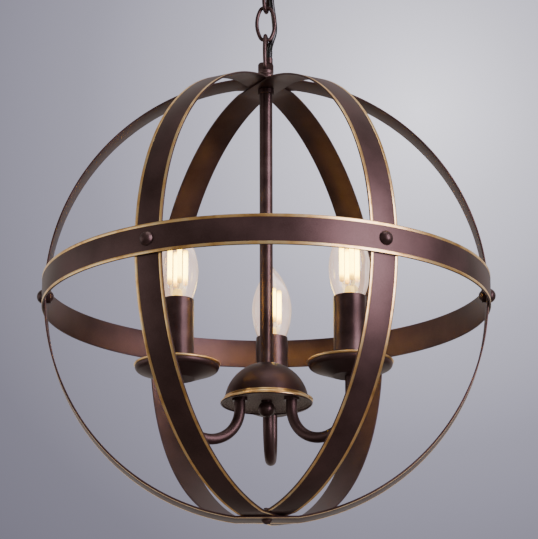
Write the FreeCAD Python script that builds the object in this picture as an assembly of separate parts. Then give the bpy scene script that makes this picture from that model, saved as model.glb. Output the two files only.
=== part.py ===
import FreeCAD, Part
import math
import os

# An orb chandelier: a cage of three flat steel hoops and an equator ring, with three
# candle lights on U-shaped arms inside it, hung from a ceiling canopy by a short chain.
# Millimetres. The origin is the middle of the ceiling bracket's top face, at the ceiling.
# +Z points up, and -Y is the side that faces the viewer.

# Cage of flat straps
ring_diameter = 380.0
ring_rise = 0.95
cage_height = 389.0
strap_width = 25.4
strap_thickness = 1.6
pad_margin = 4.3
hoop_spacing = 60.0
hoop_count = 3

# Screws of the cage
cage_screw_diameter = 5.0
cage_screw_head_diameter = 11.8
cage_screw_head_height = 4.8
cage_nut_diameter = 11.5
cage_nut_height = 3.6
cage_nut_cap_height = 2.4
pole_screw_head_diameter = 9.0
pole_screw_head_height = 3.2
screw_hole_clearance = 0.15

# Stem and the collar on top of the cage
stem_diameter = 10.5
stem_wall = 1.2
thread_diameter = 10.0
stem_nut_diameter = 13.8
stem_nut_height = 5.0
collar_flange_diameter = 16.4
collar_flange_height = 7.7
collar_diameter = 13.6
collar_body_height = 12.2
collar_tongue_width = 13.2
collar_tongue_thickness = 3.8
collar_eye_height = 14.35
collar_tongue_height = 20.0
gland_height = 4.8
gland_rise = 9.4
gland_wall = 0.9

# Chain
wire_diameter = 3.3
link_length = 33.6
link_width = 18.8
link_end_radius = 4.2
link_end_run = 2.0
hang_gap = 0.3
link_turns = (-14.0, 0.0, -8.0)

# Ceiling fittings
canopy_diameter = 120.0
canopy_depth = 24.0
canopy_wall = 1.2
canopy_foot_radius = 28.0
bracket_length = 106.0
bracket_width = 20.0
bracket_thickness = 2.0
bracket_slot_spacing = 79.4
bracket_slot_length = 14.6
bracket_slot_width = 5.0
nipple_diameter = 10.0
nipple_bore = 7.0
nipple_length = 28.0
locknut_across_flats = 14.0
locknut_height = 3.5
ring_nut_diameter = 28.0
ring_nut_height = 6.0
loop_shank_diameter = 16.0
loop_shank_length = 16.0
loop_shoulder_diameter = 20.0
loop_shoulder_height = 5.0
loop_wire_diameter = 4.2
loop_inside_diameter = 16.0
loop_end_run = 2.0
ground_screw_diameter = 4.0
ground_screw_head_diameter = 7.0
ground_screw_place = 20.0
bushing_place = (8.0, 19.5)
bushing_diameter = 8.0
bushing_flange_diameter = 12.0
bushing_length = 8.0
bushing_flange_height = 2.0
lead_diameter = 2.0
connector_diameter = 8.0
connector_length = 14.0

# Supply cord
cord_diameter = 4.6
cord_place = (2.9, 0.2)
cord_grip = 2.4
end_sleeve_wall = 0.4

# Cluster that holds the arms
cluster_turn = -3.3
light_count = 3
arm_root_radius = 25.0
dome_past_arms = 10.6
dome_wall = 1.5
dome_nut_across_flats = 12.6
dome_top_drop = 58.6
dome_rim_rise = 1.7
dome_rim_flare = 3.2
dome_rim_thickness = 2.0
dome_flare_height = 6.2
dome_flat_radius = 7.5
dome_connector_length = 10.0
plate_rise = 2.5
plate_thickness = 1.5
finial_diameter = 14.0
finial_gap = 1.3
finial_stud_diameter = 8.0
finial_stud_length = 9.0
wire_window_diameter = 5.5
wire_window_drop = 71.0

# Arms
arm_tube_diameter = 9.3
arm_wall = 1.0
light_radius = 83.0
arm_bend_drop = 100.8
arm_tip_diameter = 8.0
arm_tip_length = 15.0
arm_nut_diameter = 12.8
arm_nut_height = 4.4
arm_upper_nut_height = 2.8

# Dishes and candles
dish_drop = 82.1
dish_depth = 13.2
dish_diameter = 71.8
dish_floor_radius = 15.0
dish_thickness = 1.2
dish_roll_diameter = 2.2
dish_nut_across_flats = 13.0
dish_nut_height = 4.0
sleeve_diameter = 27.6
sleeve_wall = 1.0
sleeve_top_drop = 13.8
socket_diameter = 21.0
socket_top_margin = 15.0
socket_wall = 3.3
shell_wall = 0.4
shell_height = 21.0
contact_diameter = 5.0

# Bulbs
bulb_diameter = 35.0
bulb_widest_rise = 11.7
bulb_tip_rise = 51.0
bulb_tip_radius = 2.6
bulb_neck_diameter = 24.4
bulb_glass_wall = 0.7
bulb_cap_diameter = 13.5
bulb_cap_height = 22.0
bulb_seat_clearance = 0.3
filament_count = 4
filament_diameter = 1.6
filament_length = 34.0
filament_spread = 6.0
bulb_stem_diameter = 8.0
bulb_stem_height = 22.0

# Clearances between pieces
thread_clearance = 0.05
slip_clearance = 0.2
nut_seat_margin = 0.16

V = FreeCAD.Vector
up = V(0, 0, 1)


# Small helpers
def spot(radius, height):
    return V(radius, 0, height)


def turned(start, *steps):
    # A body turned about Z. A step is a point, or an arc given as (through, end).
    edges = []
    here = start
    for step in steps + (start,):
        if isinstance(step[0], tuple):
            through, there = step
            edges.append(Part.Arc(spot(*here), spot(*through), spot(*there)).toShape())
        else:
            there = step
            edges.append(Part.makeLine(spot(*here), spot(*there)))
        here = there
    return Part.Face(Part.Wire(edges)).revolve(V(0, 0, 0), up, 360)


def crown(radius, edge, top):
    # The step of a profile that ends on the axis as part of a ball, from radius to top
    rise = abs(top - edge)
    ball = (radius**2 + rise**2) / (2 * rise)
    half = math.atan2(radius, ball - rise) / 2
    way = 1 if top > edge else -1
    through = (ball * math.sin(half), top - way * ball * (1 - math.cos(half)))
    return through, (0, top)


def rod(radius, low, high, x=0.0, y=0.0):
    return Part.makeCylinder(radius, high - low, V(x, y, low), up)


def hexagon(across_flats, low, high, x=0.0, y=0.0):
    corner = across_flats / math.sqrt(3)
    corners = [V(x, y, low) + V(corner, 0, 0)]
    for n in range(1, 7):
        angle = math.radians(60 * n)
        corners.append(V(x + corner * math.cos(angle), y + corner * math.sin(angle), low))
    return Part.Face(Part.makePolygon(corners)).extrude(V(0, 0, high - low))


def spun(shape, angle):
    copy = shape.copy()
    copy.rotate(V(0, 0, 0), up, angle)
    return copy


def moved(shape, x, y, z):
    copy = shape.copy()
    copy.translate(V(x, y, z))
    return copy


def swept(path_edges, radius):
    # A round bar of one radius along edges that join end to end without a corner
    wire = Part.Wire(path_edges)
    start = wire.OrderedEdges[0].valueAt(wire.OrderedEdges[0].FirstParameter)
    heading = wire.OrderedEdges[0].tangentAt(wire.OrderedEdges[0].FirstParameter)
    section = Part.Wire(Part.makeCircle(radius, start, heading))
    return wire.makePipeShell([section], True, True)


def both_halves(path_edges, radius):
    # A closed loop of round bar from one half in the XZ plane and its mirror image
    half = swept(path_edges, radius)
    other = half.mirror(V(0, 0, 0), V(1, 0, 0))
    return half.fuse(other).removeSplitter()


def rounded_route(points):
    # Straight runs joined by arcs that take 0.45 of the shorter run at each point
    edges = []
    radii = []
    here = points[0]
    for before, corner, after in zip(points, points[1:], points[2:]):
        back = before - corner
        ahead = after - corner
        reach = 0.45 * min(back.Length, ahead.Length)
        half_turn = (math.pi - back.getAngle(ahead)) / 2
        into = corner + V(back).normalize() * reach
        out = corner + V(ahead).normalize() * reach
        radius = reach / math.tan(half_turn)
        inward = (V(back).normalize() + V(ahead).normalize()).normalize()
        middle = corner + inward * (radius / math.cos(half_turn) - radius)
        edges.append(Part.makeLine(here, into))
        edges.append(Part.Arc(into, middle, out).toShape())
        radii.append(radius)
        here = out
    edges.append(Part.makeLine(here, points[-1]))
    return edges, radii


def polar(radius, angle):
    turn = math.radians(angle)
    return radius * math.cos(turn), radius * math.sin(turn)


# Heights that follow from the driving sizes
wire_radius = wire_diameter / 2
cord_radius = cord_diameter / 2
thread_radius = thread_diameter / 2
link_span = link_length - wire_diameter
link_step = link_span - wire_diameter - hang_gap
loop_ring_radius = (loop_inside_diameter + loop_wire_diameter) / 2
loop_ring_outer = loop_ring_radius + loop_wire_diameter / 2
canopy_bottom = -canopy_depth
ring_nut_bottom = canopy_bottom - ring_nut_height
shoulder_top = ring_nut_bottom - 1.0
shoulder_bottom = shoulder_top - loop_shoulder_height
loop_root = 1.5
loop_middle = shoulder_bottom + loop_root - loop_ring_outer
loop_wire_height = loop_middle - loop_ring_radius
first_link_top = loop_wire_height + (loop_wire_diameter + wire_diameter) / 2 + hang_gap
link_tops = [first_link_top - link_step * n for n in range(3)]
eye_height = link_tops[-1] - link_span

ring_radius = ring_diameter / 2
ring_inside = ring_radius - strap_thickness
hoop_reach = math.sqrt(ring_inside**2 - (strap_width / 2) ** 2) - thread_clearance
pad_half = strap_width / 2 / math.tan(math.radians(hoop_spacing / 2)) + pad_margin
outer_pad_height = cage_height / 2 * math.sqrt(1 - (pad_half / hoop_reach) ** 2)
hoop_middle = -ring_rise
cage_top = hoop_middle + outer_pad_height
cage_bottom = hoop_middle - outer_pad_height
stack_height = hoop_count * strap_thickness
collar_eye = cage_top + collar_eye_height
centre = eye_height - collar_eye
gland_top = collar_eye + gland_rise

dome_radius = arm_root_radius + dome_past_arms
dome_rim_diameter = 2 * (dome_radius + dome_rim_flare)
dome_rim_drop = dome_top_drop + dome_radius - dome_rim_rise
plate_drop = dome_rim_drop - plate_rise
dome_middle = -dome_top_drop - dome_radius
dome_seat = dome_middle + math.sqrt(dome_radius**2 - dome_flat_radius**2)
dome_nut_seat = dome_middle + math.sqrt((dome_radius - dome_wall) ** 2 - dome_flat_radius**2)
dish_floor = -dish_drop + dish_thickness
socket_base = dish_floor + dish_nut_height
socket_top = -sleeve_top_drop - socket_top_margin
shell_bottom = socket_top - shell_height
shell_outer = bulb_cap_diameter / 2 + bulb_seat_clearance + shell_wall
socket_floor = shell_bottom - 1.2
contact_top = socket_floor + 1.0
bulb_bottom = contact_top + bulb_seat_clearance
bulb_foot = bulb_bottom + bulb_cap_height - 0.5
light_angles = [cluster_turn + angle for angle in (-150.0, -30.0, 90.0)]
light_names = ("left", "right", "back")


# Ceiling fittings, in the part's own frame
def mounting_bracket():
    bar = Part.makeBox(
        bracket_length,
        bracket_width,
        bracket_thickness,
        V(-bracket_length / 2, -bracket_width / 2, -bracket_thickness),
    )
    upright = [edge for edge in bar.Edges if abs(edge.tangentAt(edge.FirstParameter).z) > 0.9]
    bar = bar.makeFillet(bracket_width / 5, upright)
    slot_radius = bracket_slot_width / 2
    run = (bracket_slot_length - bracket_slot_width) / 2
    for side in (-1, 1):
        middle = side * bracket_slot_spacing / 2
        for end in (-run, run):
            bar = bar.cut(rod(slot_radius, -2 * bracket_thickness, bracket_thickness, middle + end))
        window = Part.makeBox(
            2 * run,
            bracket_slot_width,
            3 * bracket_thickness,
            V(middle - run, -slot_radius, -2 * bracket_thickness),
        )
        bar = bar.cut(window)
    bar = bar.cut(rod(nipple_diameter / 2 + thread_clearance, -2 * bracket_thickness, bracket_thickness))
    screw_hole = ground_screw_diameter / 2 + thread_clearance
    return bar.cut(rod(screw_hole, -2 * bracket_thickness, bracket_thickness, ground_screw_place))


def canopy():
    rim = canopy_diameter / 2
    foot = canopy_foot_radius
    hole = loop_shank_diameter / 2 + slip_clearance
    wall = canopy_wall
    lip = 3.0
    waist = rim - 13.0
    depth = canopy_depth
    shell = turned(
        (rim, 0),
        (rim, -lip),
        ((rim - 3.2, -lip - 5.2), (waist, -lip - 8.4)),
        (((waist + foot) / 2 + 0.6, -depth + 3.6), (foot, -depth)),
        (hole, -depth),
        (hole, -depth + wall),
        (foot, -depth + wall),
        (((waist + foot) / 2 + 0.2, -depth + 3.6 + wall), (waist - wall / 2, -lip - 8.4 + wall)),
        ((rim - 3.2 - wall, -lip - 5.2 + wall), (rim - wall, -lip)),
        (rim - wall, 0),
    )
    bore = bushing_diameter / 2 + slip_clearance
    return shell.cut(rod(bore, -depth - 1, -depth / 2, *bushing_place))


def ceiling_nipple():
    top = -0.4
    tube = rod(nipple_diameter / 2, top - nipple_length, top)
    return tube.cut(rod(nipple_bore / 2, top - nipple_length, top))


def nipple_locknut():
    low = -bracket_thickness - locknut_height
    nut = hexagon(locknut_across_flats, low, -bracket_thickness)
    return nut.cut(rod(nipple_diameter / 2 + thread_clearance, low, -bracket_thickness))


def canopy_ring_nut():
    rim = ring_nut_diameter / 2
    bore = loop_shank_diameter / 2 + thread_clearance
    round_off = 1.5
    low = ring_nut_bottom
    nut = turned(
        (bore, canopy_bottom),
        (rim, canopy_bottom),
        (rim, low + round_off),
        ((rim - 0.3 * round_off, low + 0.3 * round_off), (rim - round_off, low)),
        (bore, low),
    )
    groove_count = 24
    for n in range(groove_count):
        x, y = polar(rim + 0.25, 360 * n / groove_count)
        nut = nut.cut(rod(0.7, low + 2.0, canopy_bottom - 0.8, x, y))
    return nut


def canopy_loop():
    bore = nipple_diameter / 2 + thread_clearance
    bore_top = -0.4 - nipple_length
    shank_top = shoulder_top + loop_shank_length
    shank = loop_shank_diameter / 2
    shoulder = loop_shoulder_diameter / 2
    body = turned(
        (0, bore_top - 0.4),
        (bore, bore_top - 0.4),
        (bore, shank_top),
        (shank, shank_top),
        (shank, shoulder_top),
        (shoulder, shoulder_top),
        (shoulder, shoulder_top - 1.5),
        ((shoulder - 1.2, shoulder_bottom + 1.2), (shoulder - 4.2, shoulder_bottom)),
        (0, shoulder_bottom),
    )
    run = loop_end_run / 2
    path = [
        Part.makeLine(V(0, 0, loop_ring_radius), V(run, 0, loop_ring_radius)),
        Part.Arc(
            V(run, 0, loop_ring_radius),
            V(run + loop_ring_radius, 0, 0),
            V(run, 0, -loop_ring_radius),
        ).toShape(),
        Part.makeLine(V(run, 0, -loop_ring_radius), V(0, 0, -loop_ring_radius)),
    ]
    ring = moved(both_halves(path, loop_wire_diameter / 2), 0, 0, loop_middle)
    seat = rod(loop_shoulder_diameter, shoulder_bottom + loop_root + 0.1, shoulder_top)
    return body.fuse(ring.cut(seat)).removeSplitter()


def ground_screw():
    head = ground_screw_head_diameter / 2
    seat = -bracket_thickness
    screw = turned(
        (0, -0.3),
        (ground_screw_diameter / 2, -0.3),
        (ground_screw_diameter / 2, seat),
        (head, seat),
        (head, seat - 1.2),
        crown(head, seat - 1.2, seat - 2.4),
    )
    slot = Part.makeBox(2 * head, 0.9, 1.2, V(-head, -0.45, seat - 2.6))
    return moved(screw.cut(slot), ground_screw_place, 0, 0)


def cord_bushing():
    # The bushing's flange lies under the canopy and its barrel goes up through it
    barrel = bushing_diameter / 2
    flange = bushing_flange_diameter / 2
    bore = cord_radius + thread_clearance
    low = canopy_bottom - bushing_flange_height
    body = turned(
        (bore, low),
        (flange - 1.0, low),
        ((flange - 0.3, low + 0.3), (flange, low + 1.0)),
        (flange, canopy_bottom),
        (barrel, canopy_bottom),
        (barrel, low + bushing_length),
        (bore, low + bushing_length),
    )
    return moved(body, *bushing_place, 0)


lead_start = canopy_bottom - bushing_flange_height + bushing_length + 1.0
lead_bend = 4.0
lead_plans = ((160.0, 8.0, 13.0, -1.3, 0.0), (-6.0, 8.6, 10.0, 0.7, -1.1), (-61.3, 13.9, 15.8, 0.7, 1.1))


def lead_path(angle, rise, run, dx, dy):
    # Straight up out of the cord, round a quarter turn, and along the canopy
    x = bushing_place[0] + dx
    y = bushing_place[1] + dy
    east, north = polar(1.0, angle)
    flat = V(east, north, 0)
    foot = V(x, y, lead_start)
    bend_start = foot + V(0, 0, rise - lead_bend)
    bend_end = foot + V(0, 0, rise) + flat * lead_bend
    corner = foot + V(0, 0, rise)
    slack = lead_bend * (1 - math.sqrt(0.5))
    bend_middle = corner + (flat - up) * slack
    far = bend_end + flat * run
    edges = [Part.makeLine(foot, bend_start)]
    edges.append(Part.Arc(bend_start, bend_middle, bend_end).toShape())
    edges.append(Part.makeLine(bend_end, far))
    return edges, far, flat


def canopy_leads():
    bars = []
    for plan in lead_plans:
        edges, far, flat = lead_path(*plan)
        bars.append(swept(edges, lead_diameter / 2))
    return Part.makeCompound(bars)


def wire_connectors():
    # Closed plastic caps on the ends of the two live leads
    caps = []
    for plan in lead_plans[:2]:
        edges, far, flat = lead_path(*plan)
        wide = connector_diameter / 2
        cap = Part.makeCone(wide, wide * 0.62, connector_length, far - flat * 3.0, flat)
        inside = lead_diameter / 2 + thread_clearance
        caps.append(cap.cut(Part.makeCylinder(inside, 3.2, far - flat * 3.1, flat)))
    return Part.makeCompound(caps)


# Chain links, each an oval of round wire made as two mirrored halves
def chain_link():
    half_width = (link_width - wire_diameter) / 2
    half_length = link_span / 2
    run = link_end_run / 2
    across = run - half_width
    along = half_length - link_end_radius
    side_radius = (link_end_radius**2 - across**2 - along**2) / (2 * (across + link_end_radius))
    side_middle = half_width - side_radius
    lean = math.atan2(along, run - side_middle)
    joint_x = side_middle + side_radius * math.cos(lean)
    joint_z = side_radius * math.sin(lean)
    between = (lean + math.pi / 2) / 2
    end_x = run + link_end_radius * math.cos(between)
    end_z = along + link_end_radius * math.sin(between)
    path = [
        Part.makeLine(V(0, 0, half_length), V(run, 0, half_length)),
        Part.Arc(V(run, 0, half_length), V(end_x, 0, end_z), V(joint_x, 0, joint_z)).toShape(),
        Part.Arc(V(joint_x, 0, joint_z), V(half_width, 0, 0), V(joint_x, 0, -joint_z)).toShape(),
        Part.Arc(V(joint_x, 0, -joint_z), V(end_x, 0, -end_z), V(run, 0, -half_length)).toShape(),
        Part.makeLine(V(run, 0, -half_length), V(0, 0, -half_length)),
    ]
    return both_halves(path, wire_radius)


def placed_link(index):
    # Links alternate between two planes at a right angle, and hang slightly turned
    link = chain_link()
    if index != 1:
        link.rotate(V(0, 0, 0), up, 90)
    link.rotate(V(0, 0, 0), up, link_turns[index])
    return moved(link, 0, 0, link_tops[index] - link_span / 2)


# The supply cord runs down behind the chain, from the canopy bushing to the collar's gland.
# Heights of its points are measured from the collar's eye.
cord_points = [
    V(cord_place[0], cord_place[1], gland_rise - cord_grip),
    V(cord_place[0], cord_place[1], 14.5),
    V(4.4, 4.4, 25.0),
    V(8.2, 5.4, 36.0),
    V(7.3, 5.0, 48.0),
    V(5.8, 4.5, 58.5),
    V(4.8, 3.0, 68.0),
    V(6.8, 6.8, 78.5),
    V(bushing_place[0], bushing_place[1] - 4.5, 90.5),
    V(bushing_place[0], bushing_place[1], 102.5),
    V(bushing_place[0], bushing_place[1], lead_start - eye_height),
]


def cord_route():
    points = [V(point.x, point.y, point.z + eye_height) for point in cord_points]
    return rounded_route(points)


def supply_cord():
    edges, radii = cord_route()
    cord = swept(edges, cord_radius)
    length = sum(edge.Length for edge in edges)
    print("cord length", round(length, 1), "arc radii", [round(radius, 1) for radius in radii])
    print("cord volume over section times length", round(cord.Volume / (math.pi * cord_radius**2 * length), 4))
    return cord


def cord_end_sleeve():
    # A shrunk sleeve on the cord's first bend, standing on the gland
    edges, radii = cord_route()
    first, bend = edges[0], edges[1]
    foot = V(cord_place[0], cord_place[1], centre + gland_top)
    start = Part.makeLine(foot, first.valueAt(first.LastParameter))
    outside = swept([start, bend], cord_radius + thread_clearance + end_sleeve_wall)
    inside = swept([start, bend], cord_radius + thread_clearance)
    return outside.cut(inside)


# The cage, measured from its middle
def hoop(pad_height):
    def oval(reach, height, pad, width):
        ends = sorted((V(0, 0, height), V(reach, 0, 0)), key=lambda end: -end.Length)
        rim = Part.Ellipse(*ends, V(0, 0, 0)).toShape()
        block = Part.Face(Part.Wire(rim)).extrude(V(0, width, 0))
        block.translate(V(0, -width / 2, 0))
        slab = Part.makeBox(4 * reach, 2 * width, 2 * pad, V(-2 * reach, -width, -pad))
        return block.common(slab)

    height = pad_height / math.sqrt(1 - (pad_half / hoop_reach) ** 2)
    inside = (hoop_reach - strap_thickness, height - strap_thickness, pad_height - strap_thickness)
    strap = oval(hoop_reach, height, pad_height, strap_width).cut(oval(*inside, 2 * strap_width))
    strap.translate(V(0, 0, hoop_middle))
    strap = strap.cut(rod(thread_radius + slip_clearance, 0, 2 * outer_pad_height))
    pole_hole = cage_screw_diameter / 2 + screw_hole_clearance
    strap = strap.cut(rod(pole_hole, -2 * outer_pad_height, 0))
    side_hole = Part.makeCylinder(pole_hole, 3 * ring_radius, V(-1.5 * ring_radius, 0, 0), V(1, 0, 0))
    return strap.cut(side_hole)


def equator_ring():
    band = rod(ring_radius, -strap_width / 2, strap_width / 2)
    band = band.cut(rod(ring_inside, -strap_width / 2, strap_width / 2))
    hole = cage_screw_diameter / 2 + screw_hole_clearance
    for n in range(hoop_count):
        east, north = polar(1.0, hoop_spacing * n)
        way = V(east, north, 0)
        band = band.cut(Part.makeCylinder(hole, 3 * ring_radius, way * (-1.5 * ring_radius), way))
    return band


def laid_out(piece):
    # From upright on Z at the origin to pointing outward along +X
    copy = piece.copy()
    copy.rotate(V(0, 0, 0), V(0, 1, 0), 90)
    return copy


def six_times(piece):
    return Part.makeCompound([spun(piece, 60.0 * n) for n in range(2 * hoop_count)])


nut_seat = hoop_reach - strap_thickness - nut_seat_margin


def equator_screws():
    head = cage_screw_head_diameter / 2
    shank = cage_screw_diameter / 2
    tip = nut_seat - cage_nut_height
    top = ring_radius + cage_screw_head_height
    screw = turned(
        (0, tip),
        (shank, tip),
        (shank, ring_radius),
        (head, ring_radius),
        (head, ring_radius + 0.8),
        crown(head, ring_radius + 0.8, top),
    )
    return six_times(laid_out(screw))


def equator_nuts():
    rim = cage_nut_diameter / 2
    cap = rim * 0.78
    bore = cage_screw_diameter / 2 + thread_clearance
    face = nut_seat - cage_nut_height
    depth = face - 0.3
    nut = turned(
        (bore, nut_seat),
        (rim, nut_seat),
        (rim, face + 0.4),
        (rim - 0.4, face),
        (cap, face),
        crown(cap, face, face - cage_nut_cap_height),
        (0, depth),
        (bore, depth),
    )
    return six_times(laid_out(nut))


def pole_screw():
    head = pole_screw_head_diameter / 2
    shank = cage_screw_diameter / 2
    tip = cage_bottom + stack_height + 5.5
    screw = turned(
        (0, tip),
        (shank, tip),
        (shank, cage_bottom),
        (head, cage_bottom),
        (head, cage_bottom - 0.6),
        crown(head, cage_bottom - 0.6, cage_bottom - pole_screw_head_height),
    )
    slot = Part.makeBox(2 * head, 1.0, 1.2, V(-head, -0.5, cage_bottom - pole_screw_head_height - 0.2))
    return screw.cut(slot)


def pole_nut():
    low = cage_bottom + stack_height
    nut = hexagon(8.0, low, low + 4.0)
    return nut.cut(rod(cage_screw_diameter / 2 + thread_clearance, low, low + 4.0))


# The collar on top of the cage holds the lowest link and the end of the cord
def hanging_collar():
    flange = collar_flange_diameter / 2
    body = collar_diameter / 2
    low = cage_top
    waist = low + collar_flange_height
    shoulder = low + collar_body_height
    bore = thread_radius + thread_clearance
    bore_top = low + collar_body_height - 2.6
    cup = turned(
        (bore, low),
        (flange - 0.6, low),
        (flange, low + 0.6),
        (flange, waist - 0.8),
        ((flange - 1.4, waist + 0.5), (body, waist + 2.8)),
        (body, shoulder - 0.8),
        (body - 0.8, shoulder),
        (0, shoulder),
        (0, bore_top),
        (bore, bore_top),
    )
    half = collar_tongue_width / 2
    top = low + collar_tongue_height
    thick = collar_tongue_thickness
    outline = [
        Part.makeLine(V(-half, 0, shoulder - 1), V(half, 0, shoulder - 1)),
        Part.makeLine(V(half, 0, shoulder - 1), V(half, 0, top - 3.0)),
        Part.Arc(V(half, 0, top - 3.0), V(half - 0.9, 0, top - 0.9), V(half - 3.0, 0, top)).toShape(),
        Part.makeLine(V(half - 3.0, 0, top), V(-half + 3.0, 0, top)),
        Part.Arc(V(-half + 3.0, 0, top), V(-half + 0.9, 0, top - 0.9), V(-half, 0, top - 3.0)).toShape(),
        Part.makeLine(V(-half, 0, top - 3.0), V(-half, 0, shoulder - 1)),
    ]
    tongue = Part.Face(Part.Wire(outline)).extrude(V(0, thick, 0))
    tongue.translate(V(0, -thick / 2, 0))
    eye_radius = wire_radius + hang_gap
    eye = Part.makeCylinder(eye_radius, 2 * thick, V(0, -thick, collar_eye), V(0, 1, 0))
    tongue = tongue.cut(eye)
    tongue.rotate(V(0, 0, 0), up, link_turns[-1])
    collar = cup.fuse(tongue)
    gland = rod(cord_radius + gland_wall, gland_top - gland_height, gland_top, *cord_place)
    collar = collar.fuse(gland).removeSplitter()
    return collar.cut(rod(cord_radius + thread_clearance, gland_top - cord_grip, gland_top + 1.0, *cord_place))


# The stem: threaded ends, with a plain tube between the cage and the dome
stem_top = cage_top + collar_body_height - 3.0
stem_shoulder_top = cage_top - stack_height - stem_nut_height
stem_bottom = -plate_drop + plate_thickness + 0.3


def stem():
    tube = stem_diameter / 2
    bore = finial_stud_diameter / 2 + thread_clearance
    body = turned(
        (bore, stem_bottom),
        (thread_radius, stem_bottom),
        (thread_radius, dome_seat),
        (tube, dome_seat),
        (tube, stem_shoulder_top),
        (thread_radius, stem_shoulder_top),
        (thread_radius, stem_top),
        (bore, stem_top),
    )
    window = Part.makeCylinder(wire_window_diameter / 2, stem_diameter, V(0, 0, -wire_window_drop), V(0, 1, 0))
    return body.cut(window)


def stem_locknut():
    rim = stem_nut_diameter / 2
    bore = thread_radius + thread_clearance
    high = cage_top - stack_height
    low = high - stem_nut_height
    return turned(
        (bore, low),
        (rim - 0.6, low),
        (rim, low + 0.6),
        (rim, high - 0.6),
        (rim - 0.6, high),
        (bore, high),
    )


def stem_lead():
    # The cord goes on inside the stem to the dome
    low = -wire_window_drop - 4.0
    return rod(cord_radius, low, cage_top + collar_body_height - 3.2)


# The dome: half a sphere with a flat top and a flared rim
def cluster_dome():
    rim = dome_rim_diameter / 2
    flat = dome_flat_radius
    hole = thread_radius + slip_clearance
    flare_top = -dome_rim_drop + dome_flare_height

    def on_sphere(radius, height):
        return math.sqrt(radius**2 - (height - dome_middle) ** 2)

    inner = dome_radius - dome_wall
    top = dome_seat
    inner_top = dome_nut_seat
    lean = math.radians(50)
    outer_mid = (dome_radius * math.cos(lean), dome_middle + dome_radius * math.sin(lean))
    inner_mid = (inner * math.cos(lean), dome_middle + inner * math.sin(lean))
    bottom = -dome_rim_drop
    waist = on_sphere(dome_radius, flare_top)
    return turned(
        (hole, top),
        (flat, top),
        (outer_mid, (waist, flare_top)),
        (waist + 0.2, flare_top - 1.4),
        ((waist + 1.1, flare_top - 3.4), (rim - 0.5, bottom + dome_rim_thickness * 0.8)),
        ((rim, bottom + dome_rim_thickness * 0.5), (rim - 0.6, bottom)),
        (rim - dome_rim_thickness, bottom),
        ((inner + 1.0, bottom + 2.0), (inner - 0.1, -plate_drop - 1.0)),
        (on_sphere(inner, flare_top), flare_top),
        (inner_mid, (flat, inner_top)),
        (hole, inner_top),
    )


def dome_locknut():
    high = dome_nut_seat
    low = high - locknut_height
    nut = hexagon(dome_nut_across_flats, low, high)
    return nut.cut(rod(thread_radius + thread_clearance, low, high))


def cluster_plate():
    rim = dome_radius - dome_wall - slip_clearance - 0.4
    low = -plate_drop
    disc = rod(rim, low, low + plate_thickness)
    disc = disc.cut(rod(finial_stud_diameter / 2 + slip_clearance, low, 0))
    for angle in light_angles:
        x, y = polar(arm_root_radius, angle)
        disc = disc.cut(rod(arm_tube_diameter / 2 + slip_clearance, low, 0, x, y))
    return disc


def finial():
    ball = finial_diameter / 2
    stud = finial_stud_diameter / 2
    middle = -plate_drop - finial_gap - ball
    neck = 4.6
    join = middle + math.sqrt(ball**2 - neck**2)
    return turned(
        (0, middle - ball),
        ((ball, middle), (neck, join)),
        (neck, -plate_drop),
        (stud, -plate_drop),
        (stud, -plate_drop + finial_stud_length),
        (0, -plate_drop + finial_stud_length),
    )


# Arms: down out of the plate, round half a circle and up to the dish
arm_bend_radius = (light_radius - arm_root_radius) / 2
arm_root_top = -plate_drop + plate_thickness + arm_upper_nut_height + 1.0


def arm_path(root_top, tip_top, side=0.0):
    middle = arm_root_radius + arm_bend_radius
    edges = [
        Part.makeLine(V(arm_root_radius, side, root_top), V(arm_root_radius, side, -arm_bend_drop)),
        Part.Arc(
            V(arm_root_radius, side, -arm_bend_drop),
            V(middle, side, -arm_bend_drop - arm_bend_radius),
            V(light_radius, side, -arm_bend_drop),
        ).toShape(),
        Part.makeLine(V(light_radius, side, -arm_bend_drop), V(light_radius, side, tip_top)),
    ]
    return edges


def arm(angle):
    tube = arm_tube_diameter / 2
    tip = arm_tip_diameter / 2
    bore = tube - arm_wall
    tip_top = -dish_drop + arm_tip_length
    outside = swept(arm_path(arm_root_top, -dish_drop), tube)
    outside = outside.fuse(rod(tip, -dish_drop - 1, tip_top, light_radius))
    inside = swept(arm_path(arm_root_top, -dish_drop - 2.0), bore)
    inside = inside.fuse(rod(tip - arm_wall, -dish_drop - 3, tip_top, light_radius))
    return spun(outside.cut(inside), angle)


def arm_nuts():
    # One round nut under the plate and a thin one on top of it for each arm
    nuts = []
    rim = arm_nut_diameter / 2
    bore = arm_tube_diameter / 2 + thread_clearance
    for angle in light_angles:
        x, y = polar(arm_root_radius, angle)
        spans = ((-plate_drop - arm_nut_height, -plate_drop),)
        spans += ((-plate_drop + plate_thickness, -plate_drop + plate_thickness + arm_upper_nut_height),)
        for low, high in spans:
            nuts.append(rod(rim, low, high, x, y).cut(rod(bore, low, high, x, y)))
    return Part.makeCompound(nuts)


def arm_wires():
    # Two leads side by side in each arm, from the dome to the socket
    wires = []
    for angle in light_angles:
        for side in (-1.2, 1.2):
            edges = arm_path(arm_root_top + 4.0, socket_floor, side)
            wires.append(spun(swept(edges, lead_diameter / 2), angle))
    return Part.makeCompound(wires)


def dome_connectors():
    # Closed plastic caps over the joined leads, standing on the ends of the arm wires
    caps = []
    for angle in light_angles:
        x, y = polar(arm_root_radius, angle)
        low = arm_root_top + 0.4
        cap = Part.makeCone(3.4, 2.4, dome_connector_length, V(x, y, low), up)
        for side in (-1.2, 1.2):
            bore = Part.makeCylinder(lead_diameter / 2 + thread_clearance, 3.8, V(arm_root_radius, side, low), up)
            cap = cap.cut(spun(bore, angle))
        caps.append(cap)
    return Part.makeCompound(caps)


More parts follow.
